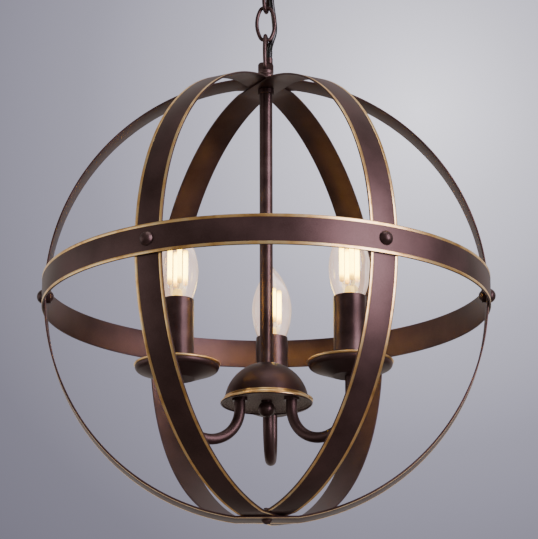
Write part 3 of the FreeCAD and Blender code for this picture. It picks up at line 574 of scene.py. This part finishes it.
def barSection(bar):
    # (across, inward) points of the bar's cross-section, each corner rounded in three steps
    half, deep, corner = bar["width"] / 2, bar["thickness"], bar["cornerRadius"]
    section = []
    for across, inward, start in ((half - corner, corner, 0), (half - corner, deep - corner, 90),
                                  (corner - half, deep - corner, 180), (corner - half, corner, 270)):
        for step in range(4):
            a = math.radians(start - 90 + 30 * step)
            section.append((across + corner * math.cos(a), inward + corner * math.sin(a)))
    return section


def lineSection(bar, side):
    # The gold line's cross-section, on one side of the strap's middle
    low, high, proud = bar["goldFrom"], bar["goldTo"], bar["goldProud"]
    slope, sunk = bar["goldSlope"], bar["goldSunk"]
    outline = [(low, sunk), (low, 0.0), (low + slope, -proud), (high - slope, -proud), (high, 0.0),
               (high, sunk)]
    return [(side * across, inward) for across, inward in outline]


def hoopPath(bar, order, curveSteps=120, padSteps=12):
    # Points (out, up) and outward directions of a hoop: an oval with flats at both poles
    reach = bar["hoopReach"]
    flatShare = math.sqrt(1 - (bar["padHalf"] / reach) ** 2)
    pad = bar["hoopHalfHeight"] * flatShare - order * bar["thickness"]
    height = pad / flatShare
    edge = math.asin(flatShare)
    path = []
    for side in (0, math.pi):
        for n in range(curveSteps + 1):
            a = side - edge + 2 * edge * n / curveSteps
            x, z = reach * math.cos(a), height * math.sin(a)
            out = Vector((math.cos(a) / reach, math.sin(a) / height)).normalized()
            path.append((x, z, out.x, out.y))
        way = 1 if side == 0 else -1
        for n in range(1, padSteps):
            x = way * bar["padHalf"] * (1 - 2 * n / padSteps)
            path.append((x, way * pad, 0.0, float(way)))
    return path


def strapRows(path, section, turn, drop):
    # The section carried along a hoop's path
    spin = Matrix.Rotation(math.radians(turn), 3, "Z")
    rows = []
    for x, z, outX, outZ in path:
        row = []
        for across, inward in section:
            point = Vector((x - outX * inward, across, z - outZ * inward - drop))
            row.append(orbCentre + spin @ point * mm)
        rows.append(row)
    return rows


def ringRows(section, radius, steps=288):
    # The section carried round the equator
    rows = []
    for n in range(steps):
        a = 2 * math.pi * n / steps
        row = []
        for across, inward in section:
            point = Vector(((radius - inward) * math.cos(a), (radius - inward) * math.sin(a), across))
            row.append(orbCentre + point * mm)
        rows.append(row)
    return rows


def makeStraps(bar):
    for order, (node, turn) in enumerate(bar["hoopTurns"].items()):
        path = hoopPath(bar, order)
        name = node.split("_")[1] + "Hoop"
        rows = strapRows(path, barSection(bar), turn, bar["hoopDrop"])
        strap = meshPiece(name + "Strap", *closedGrid(rows), enamel, "orb", "dark_bronze",
                          sharpAngle=50)
        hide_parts(node)
        for side, word in ((1, "A"), (-1, "B")):
            rows = strapRows(path, lineSection(bar, side), turn, bar["hoopDrop"])
            meshPiece(name + "GoldLine" + word, *closedGrid(rows), gold, "orb", "gold_edge",
                      sharpAngle=50)
    rows = ringRows(barSection(bar), bar["ringRadius"])
    ring = meshPiece("equatorStrap", *closedGrid(rows), enamel, "orb", "dark_bronze", sharpAngle=50)
    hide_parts("equator_ring")
    for side, word in ((1, "Upper"), (-1, "Lower")):
        rows = ringRows(lineSection(bar, side), bar["ringRadius"])
        meshPiece("equatorGoldLine" + word, *closedGrid(rows), gold, "orb", "gold_edge", sharpAngle=50)


makeStraps(strapBar)
print("straps made")


# Chain links: bent round wire with a butt weld half way up one side

linkWire = {
    "diameter": 3.3,
    "width": 18.8,
    "length": 33.6,
    "endRadius": 4.2,        # of the wire's middle line at both ends
    "halfEndRun": 1.0,       # half the straight stretch across an end
    "weldRise": 0.12,        # mm that the weld stands proud
    "weldReach": 0.9,
    # node: (body, degrees that the link is turned about the upright)
    "links": {
        "chain_link_top": ("link_top", 76.0),
        "chain_link_middle": ("link_middle", 0.0),
        "chain_link_bottom": ("link_bottom", 82.0),
    },
}


def linkOval(wire, endSteps=8, sideSteps=24):
    # Half of the link's middle line, from the top round one side to the bottom
    halfWidth = (wire["width"] - wire["diameter"]) / 2
    halfLength = (wire["length"] - wire["diameter"]) / 2
    run, small = wire["halfEndRun"], wire["endRadius"]
    across, along = run - halfWidth, halfLength - small
    large = (small ** 2 - across ** 2 - along ** 2) / (2 * (across + small))
    middle = halfWidth - large
    lean = math.atan2(along, run - middle)
    points = [(0.0, halfLength)]
    for n in range(endSteps + 1):
        a = math.pi / 2 - (math.pi / 2 - lean) * n / endSteps
        points.append((run + small * math.cos(a), along + small * math.sin(a)))
    for n in range(1, sideSteps + 1):
        a = lean - 2 * lean * n / sideSteps
        points.append((middle + large * math.cos(a), large * math.sin(a)))
    for n in range(1, endSteps + 1):
        a = -lean - (math.pi / 2 - lean) * n / endSteps
        points.append((run + small * math.cos(a), -along + small * math.sin(a)))
    return points


def makeLinks(wire):
    oval = linkOval(wire)
    loop = oval + [(0.0, -oval[0][1])] + [(-x, z) for x, z in reversed(oval[1:])]
    for node, (body, turn) in wire["links"].items():
        low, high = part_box(node)
        middle = (low + high) / 2
        spin = Matrix.Rotation(math.radians(turn), 3, "Z")
        path = [middle + spin @ Vector((x, 0, z)) * mm for x, z in loop]
        radii = []
        for x, z in loop:
            weld = math.exp(-(z / wire["weldReach"]) ** 2) if x > 0 else 0.0
            radii.append((wire["diameter"] / 2 + wire["weldRise"] * weld) * mm)
        name = node.replace("chain_link_", "") + "ChainLink"
        rows = tubeRows(path, radii, sides=24, closed=True)
        link = meshPiece(name, *closedGrid(rows), dipped, body, "dark_bronze", sharpAngle=60)
        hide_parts(node)


makeLinks(linkWire)
print("chain made")


# Supply cord, in three pieces that overlap a little, and a shrunk sleeve at its foot

cordPlan = {
    "diameter": 4.6,
    # the route from the canopy down to the collar, in metres from the frame's origin at the ceiling
    "route": [
        (0.0080, 0.0195, -0.0170), (0.0080, 0.0195, -0.03395), (0.0080, 0.0150, -0.04595),
        (0.0068, 0.0068, -0.05795), (0.0048, 0.0030, -0.06845), (0.0058, 0.0045, -0.07795),
        (0.0073, 0.0050, -0.08845), (0.0082, 0.0054, -0.10045), (0.0044, 0.0044, -0.11145),
        (0.0029, 0.0002, -0.12195), (0.0029, 0.0002, -0.12945),
    ],
    # name, top and foot, the two bodies it hangs between, and where it passes from one to the
    # other, with heights in mm above the orb's centre
    "pieces": [
        ("cordFromCanopy", 400.0, 272.0, ("ceiling_canopy", "link_top"), 291.5, 281.5),
        ("cordBesideTopLink", 281.0, 247.5, ("link_top", "link_middle"), 264.5, 253.5),
        ("cordBesideLowerLinks", 253.0, 222.6, ("link_middle", "link_bottom"), 239.0, 227.0),
    ],
    "sleeveFoot": 215.6,     # mm above the orb's centre
    "sleeveTop": 222.8,
    "sleeveWall": 0.42,
    "sleeveTaper": 0.32,     # mm that its upper end is drawn in
    "sleeveWave": 0.12,      # mm, the waves that shrinking leaves
}


def splinePoints(route, resolution=32):
    # The cord's own smooth line, read from its NURBS spline
    curve = bpy.data.curves.new("cordLine", "CURVE")
    curve.dimensions = "3D"
    spline = curve.splines.new("NURBS")
    spline.points.add(len(route) - 1)
    for point, place in zip(spline.points, route):
        point.co = (*place, 1)
    spline.order_u = 3
    spline.use_endpoint_u = True
    spline.resolution_u = resolution
    holder = bpy.data.objects.new("cordLine", curve)
    bpy.context.scene.collection.objects.link(holder)
    bpy.context.view_layer.update()
    line = bpy.data.meshes.new_from_object(holder)
    points = [v.co.copy() for v in line.vertices]
    bpy.data.objects.remove(holder)
    bpy.data.meshes.remove(line)
    return points


def cutLine(points, high, low):
    # The part of a falling line between two heights, with points exactly at both
    kept = []
    for a, b in zip(points, points[1:]):
        for z in (high, low):
            if (a.z - z) * (b.z - z) < 0:
                kept.append(a.lerp(b, (a.z - z) / (a.z - b.z)))
        if low < b.z < high:
            kept.append(b)
    if points[0].z <= high:
        kept.insert(0, points[0])
    return sorted(kept, key=lambda p: -p.z)


def cordPiece(name, line, plan):
    rows = tubeRows(line, plan["diameter"] / 2 * mm, sides=24)
    piece = meshPiece(name, *openGrid(rows), finishes["softPvcCord"], None, "black_cord", sharpAngle=60)
    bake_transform(piece)
    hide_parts("supply_cord")
    length = sum((b - a).length for a, b in zip(line, line[1:]))
    return length


def makeEndSleeve(line, plan):
    top = orbCentre.z
    foot = cutLine(line, top + plan["sleeveTop"] * mm, top + plan["sleeveFoot"] * mm)
    outer = plan["diameter"] / 2 + plan["sleeveWall"]
    radii = []
    for n in range(len(foot)):
        share = n / (len(foot) - 1)
        taper = plan["sleeveTaper"] * max(0.0, 1 - share / 0.2)
        wave = plan["sleeveWave"] * math.sin(share * 22)
        radii.append((outer - taper + wave) * mm)
    rows = tubeRows(foot, radii, sides=24)
    sleeve = meshPiece("cordEndSleeve", *openGrid(rows), finishes["shrunkSleeve"], None, "black_cord",
                       sharpAngle=50)
    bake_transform(sleeve)
    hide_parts("cord_end_sleeve")


def makeCord(plan):
    line = splinePoints(plan["route"])
    top = orbCentre.z
    for name, high, low, bodies, turnFrom, turnTo in plan["pieces"]:
        piece = cutLine(line, top + high * mm, top + low * mm)
        length = cordPiece(name, piece, plan)
        print(name, "length", round(length, 4))
    makeEndSleeve(line, plan)


makeCord(cordPlan)
print("cord made")


# Cluster: spun dome with a flared gold rim, arms, dishes and candle sleeves; heights are in mm
# from the orb's centre

clusterPlan = {
    "domeRadius": 35.6,
    "domeMiddle": -94.2,     # the middle of the half ball
    "domeWall": 1.5,
    "flatRadius": 7.5,       # the flat round the stem
    "boreRadius": 5.2,
    "rimRadius": 38.8,
    "rimHeight": -94.3,
    "goldTop": -88.8,
    "plateReach": 37.3,
    "plateLow": -91.3,
    "plateHigh": -88.5,
    "plateDish": 2.0,        # mm that the plate turns down towards the rim
}


def makeDome(plan):
    outer, inner, middle = plan["domeRadius"], plan["domeRadius"] - plan["domeWall"], plan["domeMiddle"]
    rim, low, goldTop = plan["rimRadius"], plan["rimHeight"], plan["goldTop"]
    flat, bore = plan["flatRadius"], plan["boreRadius"]

    def onBall(radius, height):
        return math.sqrt(radius ** 2 - (height - middle) ** 2)

    top = middle + math.sqrt(outer ** 2 - flat ** 2)
    innerTop = middle + math.sqrt(inner ** 2 - flat ** 2)
    waist = onBall(outer, goldTop)
    lean = math.radians(48)  # where on the ball the arcs have their middle point
    dome = profile(
        (bore, top), (flat - 0.4, top + 0.05), (flat, top - 0.05),
        ((outer * math.cos(lean), middle + outer * math.sin(lean)), (waist, goldTop)),
        (waist + 0.15, goldTop - 1.2),
        (inner + 0.4, low + 1.4), (onBall(inner, goldTop), goldTop),
        ((inner * math.cos(lean), middle + inner * math.sin(lean)), (flat, innerTop)),
        (bore, innerTop),
    )
    piece = turnedPiece("spunDome", dome, orbCentre, enamel, "orb", "dark_bronze", segments=128)
    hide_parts("cluster_dome")
    band = profile(
        (waist - 0.3, goldTop), (waist + 0.35, goldTop + 0.05), (waist + 0.65, goldTop - 0.5),
        ((waist + 1.15, goldTop - 2.2), (rim - 0.7, low + 1.9)),
        ((rim, low + 1.3), (rim - 0.05, low + 0.85)),
        (rim - 1.1, low + 0.9), ((waist + 0.9, low + 2.2), (waist - 0.3, goldTop - 1.3)),
    )
    turnedPiece("domeGoldRim", band, orbCentre, gold, "orb", "gold_edge", segments=128)
    lip = profile(
        (rim - 0.05, low + 0.85), ((rim - 0.25, low + 0.2), (rim - 0.9, low - 0.05)),
        (rim - 1.3, low), (rim - 1.7, low + 1.4), (rim - 1.3, low + 2.0), (rim - 1.0, low + 1.1),
    )
    turnedPiece("domeInsideLip", lip, orbCentre, dipped, "orb", "dark_bronze", segments=128)
    reach, dish = plan["plateReach"], plan["plateDish"]
    under, over = plan["plateLow"], plan["plateHigh"]
    plate = profile(
        (0, under), (20.0, under), ((30.5, under - dish * 0.4), (reach, under - dish)),
        (reach + 0.1, under - dish + 0.5), (34.4, under + 0.6), (33.4, over), (0, over),
    )
    platePiece = turnedPiece("domePlate", plate, orbCentre, powderCoat, "orb", "dark_bronze",
                             segments=128, closed=False)
    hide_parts("cluster_plate")


stemPlan = {"radius": 5.65, "thread": 4.7, "top": 185.6, "shoulder": -60.2, "foot": -88.2, "wall": 1.0}


def makeStem(plan):
    # A straight tube with a faint drawn ring under the nut, from the top crossing into the dome
    radius, thread, top = plan["radius"], plan["thread"], plan["top"]
    foot, shoulder, bore = plan["foot"], plan["shoulder"], plan["thread"] - plan["wall"]
    tube = profile(
        (thread, foot), (thread, shoulder), (radius - 0.3, shoulder), (radius, shoulder + 0.3),
        (radius, top - 3.0), ((radius - 0.05, top - 2.6), (radius - 0.3, top - 2.2)),
        (radius - 0.3, top), (bore, top), (bore, foot),
    )
    piece = turnedPiece("stemTube", tube, orbCentre, dipped, "orb", "dark_bronze", segments=64)
    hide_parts("stem")


def lightCentre(side):
    # On the upright line of a candle, at the height of the orb's centre
    low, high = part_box("bulb_glass_" + side)
    return Vector(((low.x + high.x) / 2, (low.y + high.y) / 2, orbCentre.z))


def lightAngle(side):
    place = lightCentre(side)
    return math.atan2(place.y, place.x)


armPlan = {
    "rootRadius": 25.0,      # mm from the stem's middle, where an arm enters the plate
    "lightRadius": 83.0,
    "bendDrop": -100.8,
    "tube": 4.65,
    "flattened": 0.10,       # mm that the bent tube loses at the bottom of its bend
    "endRun": 4.0,           # mm over the bend where both straight ends start
    "rootTop": -84.7,
    "tipTop": -82.1,
}


def makeArm(side, plan, steps=48):
    root, tip, drop = plan["rootRadius"], plan["lightRadius"], plan["bendDrop"]
    bend = (tip - root) / 2
    middle = root + bend
    spin = Matrix.Rotation(lightAngle(side), 3, "Z")
    line = [(root, plan["rootTop"]), (root, drop + plan["endRun"])]
    for n in range(steps + 1):
        a = math.pi + math.pi * n / steps
        line.append((middle + bend * math.cos(a), drop + bend * math.sin(a)))
    line += [(tip, drop + plan["endRun"]), (tip, plan["tipTop"])]
    path = [orbCentre + spin @ Vector((x, 0, z)) * mm for x, z in line]
    radii = []
    for x, z in line:
        depth = max(0.0, (drop - z) / bend)
        radii.append((plan["tube"] - plan["flattened"] * depth) * mm)
    rows = tubeRows(path, radii, sides=32)
    piece = meshPiece(side + "ArmTube", *openGrid(rows), enamel, "orb", "dark_bronze", sharpAngle=50)
    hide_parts("arm_" + side)


dishPlan = {
    "bottom": -82.1,
    "rimHeight": -68.9,
    "radius": 35.9,
    "floor": 15.0,
    "wall": 1.2,
    "bore": 4.3,
    "roll": 1.1,             # radius of the rolled rim
    "bendIn": 4.6,           # mm inside the rim, where the side turns up
    "bendRise": 6.2,
}


def makeDish(side, plan, rollSteps=16):
    place = lightCentre(side)
    low, rim, roll, wall, floor = (plan[key] for key in ("bottom", "radius", "roll", "wall", "floor"))
    edge = plan["rimHeight"] - roll
    bend = rim - plan["bendIn"]
    bendHeight = low + plan["bendRise"]
    dish = profile(
        (plan["bore"], low), (floor - 0.8, low), ((floor, low + 0.08), (floor + 0.8, low + 0.35)),
        (bend, bendHeight), ((rim - 1.5, bendHeight + 2.0), (rim - 0.9, edge - 1.2)),
        (rim - 0.9 - wall, edge - 1.0),
        ((rim - 1.6 - wall, bendHeight + 2.1), (bend - 0.8, bendHeight + wall)),
        (floor, low + wall), (plan["bore"], low + wall),
    )
    piece = turnedPiece(side + "DishBowl", dish, place, enamel, "orb", "dark_bronze")
    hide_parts("dish_" + side)
    centre = rim - roll
    rolled = []
    for n in range(rollSteps):
        a = 2 * math.pi * n / rollSteps
        rolled.append((centre + roll * math.cos(a), edge + roll * math.sin(a)))
    turnedPiece(side + "DishGoldRim", rolled, place, gold, "orb", "gold_edge", sharpAngle=80)


sleevePlan = {"radius": 13.8, "wall": 1.0, "top": -13.8, "foot": -80.9}


def makeCandleSleeve(side, plan):
    outer, inner, top, foot = plan["radius"], plan["radius"] - plan["wall"], plan["top"], plan["foot"]
    tube = profile(
        (outer, foot), (outer, top - 0.5), ((outer - 0.15, top - 0.15), (outer - 0.5, top)),
        ((inner + 0.15, top - 0.15), (inner, top - 0.5)), (inner, foot),
    )
    piece = turnedPiece(side + "CandleSleeve", tube, lightCentre(side), dipped, "orb", "dark_bronze")
    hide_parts("candle_sleeve_" + side)


# Bulbs: blown envelope, pinched glass stem and four lit sticks on their wires

bulbPlan = {
    # the envelope: radii, and heights in mm from the orb's centre
    "widest": 17.5,
    "widestHeight": 11.7,
    "neck": 12.2,
    "mouth": -13.8,
    "collar": 8.95,
    "foot": -28.2,
    "tip": 51.0,
    "tipRadius": 2.6,
    "tipRise": 2.1,          # mm, the height of the round tip
    "wall": 0.7,
    "stemRadius": 5.6,
    "stemHeight": 24.0,
    "sticks": 4,
    "stickRadius": 2.0,
    "stickLength": 31.0,
    "stickSpread": 6.7,      # mm from the bulb's middle
    "stickTurn": 15.0,       # degrees
    "stickRise": 3.0,        # mm over the stem
    "wireRadius": 0.28,
}


def envelope(plan, shrink):
    # The outline of the glass, or of its inside when shrunk by the wall
    widest, neck, collar = plan["widest"] - shrink, plan["neck"] - shrink, plan["collar"] - shrink
    tipRadius, tip, rise = plan["tipRadius"] - shrink, plan["tip"] - 2 * shrink, plan["tipRise"]
    foot, mouth, belly = plan["foot"], plan["mouth"], plan["widestHeight"]
    ball = (tipRadius ** 2 + rise ** 2) / (2 * rise)
    half = math.atan2(tipRadius, ball - rise) / 2
    return profile(
        (collar, foot), (collar, foot + 1.5),
        (((collar + neck) / 2 + 0.4, (foot + 1.5 + mouth) / 2 + 0.6), (neck, mouth)),
        ((widest - 1.25, belly - 12.0), (widest, belly)),
        ((widest * 0.745, belly + 20.5), (tipRadius, tip - rise)),
        ((ball * math.sin(half), tip - ball * (1 - math.cos(half))), (0, tip)),
    )


def upright(height):
    return Vector((0, 0, height))


def makeBulb(side, plan):
    place = lightCentre(side)
    body = "bulb_" + side
    outline = envelope(plan, 0.0) + list(reversed(envelope(plan, plan["wall"])))
    bulb = turnedPiece(side + "BulbGlass", outline, place, glass, body, "clear_glass", sharpAngle=60)
    bulb.visible_shadow = False
    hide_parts("bulb_glass_" + side)

    foot, radius = plan["foot"], plan["stemRadius"]
    top = foot + plan["stemHeight"]
    stem = profile(
        (0, foot), (radius, foot),
        ((radius * 0.86, foot + plan["stemHeight"] * 0.6), (radius * 0.68, top - 2.0)),
        (radius * 0.5, top - 0.6), (0, top),
    )
    stemPiece = turnedPiece(side + "BulbStem", stem, place, paintedGlowStemGlass, body, "lit_sticks",
                            segments=32, closed=False)
    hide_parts("bulb_filament_" + side)

    low = top + plan["stickRise"]
    high = low + plan["stickLength"]
    thick = plan["stickRadius"]
    stickHeights = (low, low + 0.4, low + 1.2, high - 1.2, high - 0.4, high)
    rounded = (thick * 0.45, thick * 0.85, thick, thick, thick * 0.85, thick * 0.45)
    stickRadii = [r * mm for r in rounded]
    sticks = []
    wires = [(upright(top - 1.0), upright(high + 1.6))]
    for n in range(plan["sticks"]):
        a = math.radians(plan["stickTurn"] + 360 * n / plan["sticks"])
        out = Vector((math.cos(a), math.sin(a), 0))
        at = out * plan["stickSpread"]
        line = [place + (at + upright(z)) * mm for z in stickHeights]
        sticks.append(tubeRows(line, stickRadii, sides=12))
        wires.append((out * radius * 0.3 + upright(top - 2.0), at + upright(low + 0.4)))
        wires.append((upright(high + 1.4), at + upright(high - 0.3)))
    meshPiece(side + "LitSticks", *joinedTubes(sticks), phosphor, body, "lit_sticks", sharpAngle=50)
    tubes = []
    for start, end in wires:
        line = [place + start * mm, place + start.lerp(end, 0.5) * mm, place + end * mm]
        tubes.append(tubeRows(line, plan["wireRadius"] * mm, sides=8))
    meshPiece(side + "BulbWires", *joinedTubes(tubes), finishes["bulbCapNickel"], body, "nickel_cap",
              sharpAngle=60)


makeDome(clusterPlan)
makeStem(stemPlan)
for side in lights:
    makeArm(side, armPlan)
    makeDish(side, dishPlan)
    makeCandleSleeve(side, sleevePlan)
    makeBulb(side, bulbPlan)
print("cluster, candles and bulbs made")


# Studio: pale floor far below, soft lights, a grey-blue backdrop

studio = {
    "floorDepth": 2.4,       # m below the ceiling
    "floorRadii": (0.01, 2.5, 4.6),
    "floorColour": "#98928A",
    "floorGrain": "#9E9890",
    "floorPatches": 1000 / 3,  # mm, three to the metre
    "brightTowards": (0.055, 0.938, 0.342),
    # how the wall falls off round its bright spot, by distance on the unit ball of directions
    "wall": [(0.0, "#EBE9F6"), (0.04, "#C1BFCC"), (0.08, "#9D9BA9"), (0.12, "#807E8C"),
             (0.18, "#65636F"), (0.235, "#585662"), (0.34, "#9C9896"), (0.60, "#A9A39D"),
             (1.0, "#696561")],
    "brightness": 1.9,
    # name, azimuth and elevation in degrees, distance and size in m, watts, colour; azimuth 0 is
    # the viewer's side and 90 the viewer's right
    "softBoxes": [
        ("rightSoftBox", 50, 9.5, 2.0, (1.2, 1.9), 54, "#FBF1FF"),
        ("leftFill", -88, 2, 2.6, (3.1, 1.9), 12.5, "#FFFFFF"),
        ("topFill", 20, 75, 1.9, (1.2, 1.2), 9, "#FFFFFF"),
    ],
}


def makeFloor(plan, steps=64):
    # A matt painted floor, slightly uneven in tone
    material, tree, surface, place = newMaterial("paleStudioFloor")
    tone = addNode(tree, "ShaderNodeTexNoise",
                   {"Scale": patternScale(plan["floorPatches"]), "Detail": 2.0}, {"Vector": place})
    shade = addNode(tree, "ShaderNodeValToRGB", links={"Fac": tone.outputs["Fac"]})
    colour = setRamp(shade, [(0.3, plan["floorColour"]), (0.7, plan["floorGrain"])])
    tree.links.new(colour, surface.inputs["Base Color"])
    surface.inputs["Roughness"].default_value = 0.8
    depth = plan["floorDepth"]
    angles = [2 * math.pi * n / steps for n in range(steps)]
    rows = []
    for radius in plan["floorRadii"]:
        rows.append([Vector((radius * math.cos(a), radius * math.sin(a), -depth)) for a in angles])
    floor = meshPiece("studioFloor", *openGrid(rows, caps=False), material)


def makeBackdrop(plan):
    world = bpy.data.worlds.new("softStudio")
    world.use_nodes = True
    tree = world.node_tree
    tree.nodes.clear()
    way = addNode(tree, "ShaderNodeTexCoord").outputs["Generated"]
    bright = Vector(plan["brightTowards"]).normalized()
    near = addNode(tree, "ShaderNodeVectorMath", {"operation": "DISTANCE", 1: tuple(bright)}, {0: way})
    shade = addNode(tree, "ShaderNodeValToRGB", links={"Fac": near.outputs["Value"]})
    colour = setRamp(shade, plan["wall"])
    light = addNode(tree, "ShaderNodeBackground", {"Strength": plan["brightness"]}, {"Color": colour})
    addNode(tree, "ShaderNodeOutputWorld", links={"Surface": light.outputs[0]})
    bpy.context.scene.world = world


def softLight(name, azimuth, elevation, distance, size, power, colour):
    # A soft box that faces the orb
    data = bpy.data.lights.new(name, "AREA")
    data.shape = "RECTANGLE"
    data.size, data.size_y = size
    data.energy = power
    data.color = hexColour(colour)[:3]
    box = bpy.data.objects.new(name, data)
    a, e = math.radians(azimuth), math.radians(elevation)
    way = Vector((math.sin(a) * math.cos(e), -math.cos(a) * math.cos(e), math.sin(e)))
    box.location = orbCentre + way * distance
    box.rotation_mode = "QUATERNION"
    box.rotation_quaternion = way.to_track_quat("Z", "Y")
    box.visible_camera = False
    bpy.context.scene.collection.objects.link(box)


makeFloor(studio)
makeBackdrop(studio)
for softBox in studio["softBoxes"]:
    softLight(*softBox)
print("studio made")
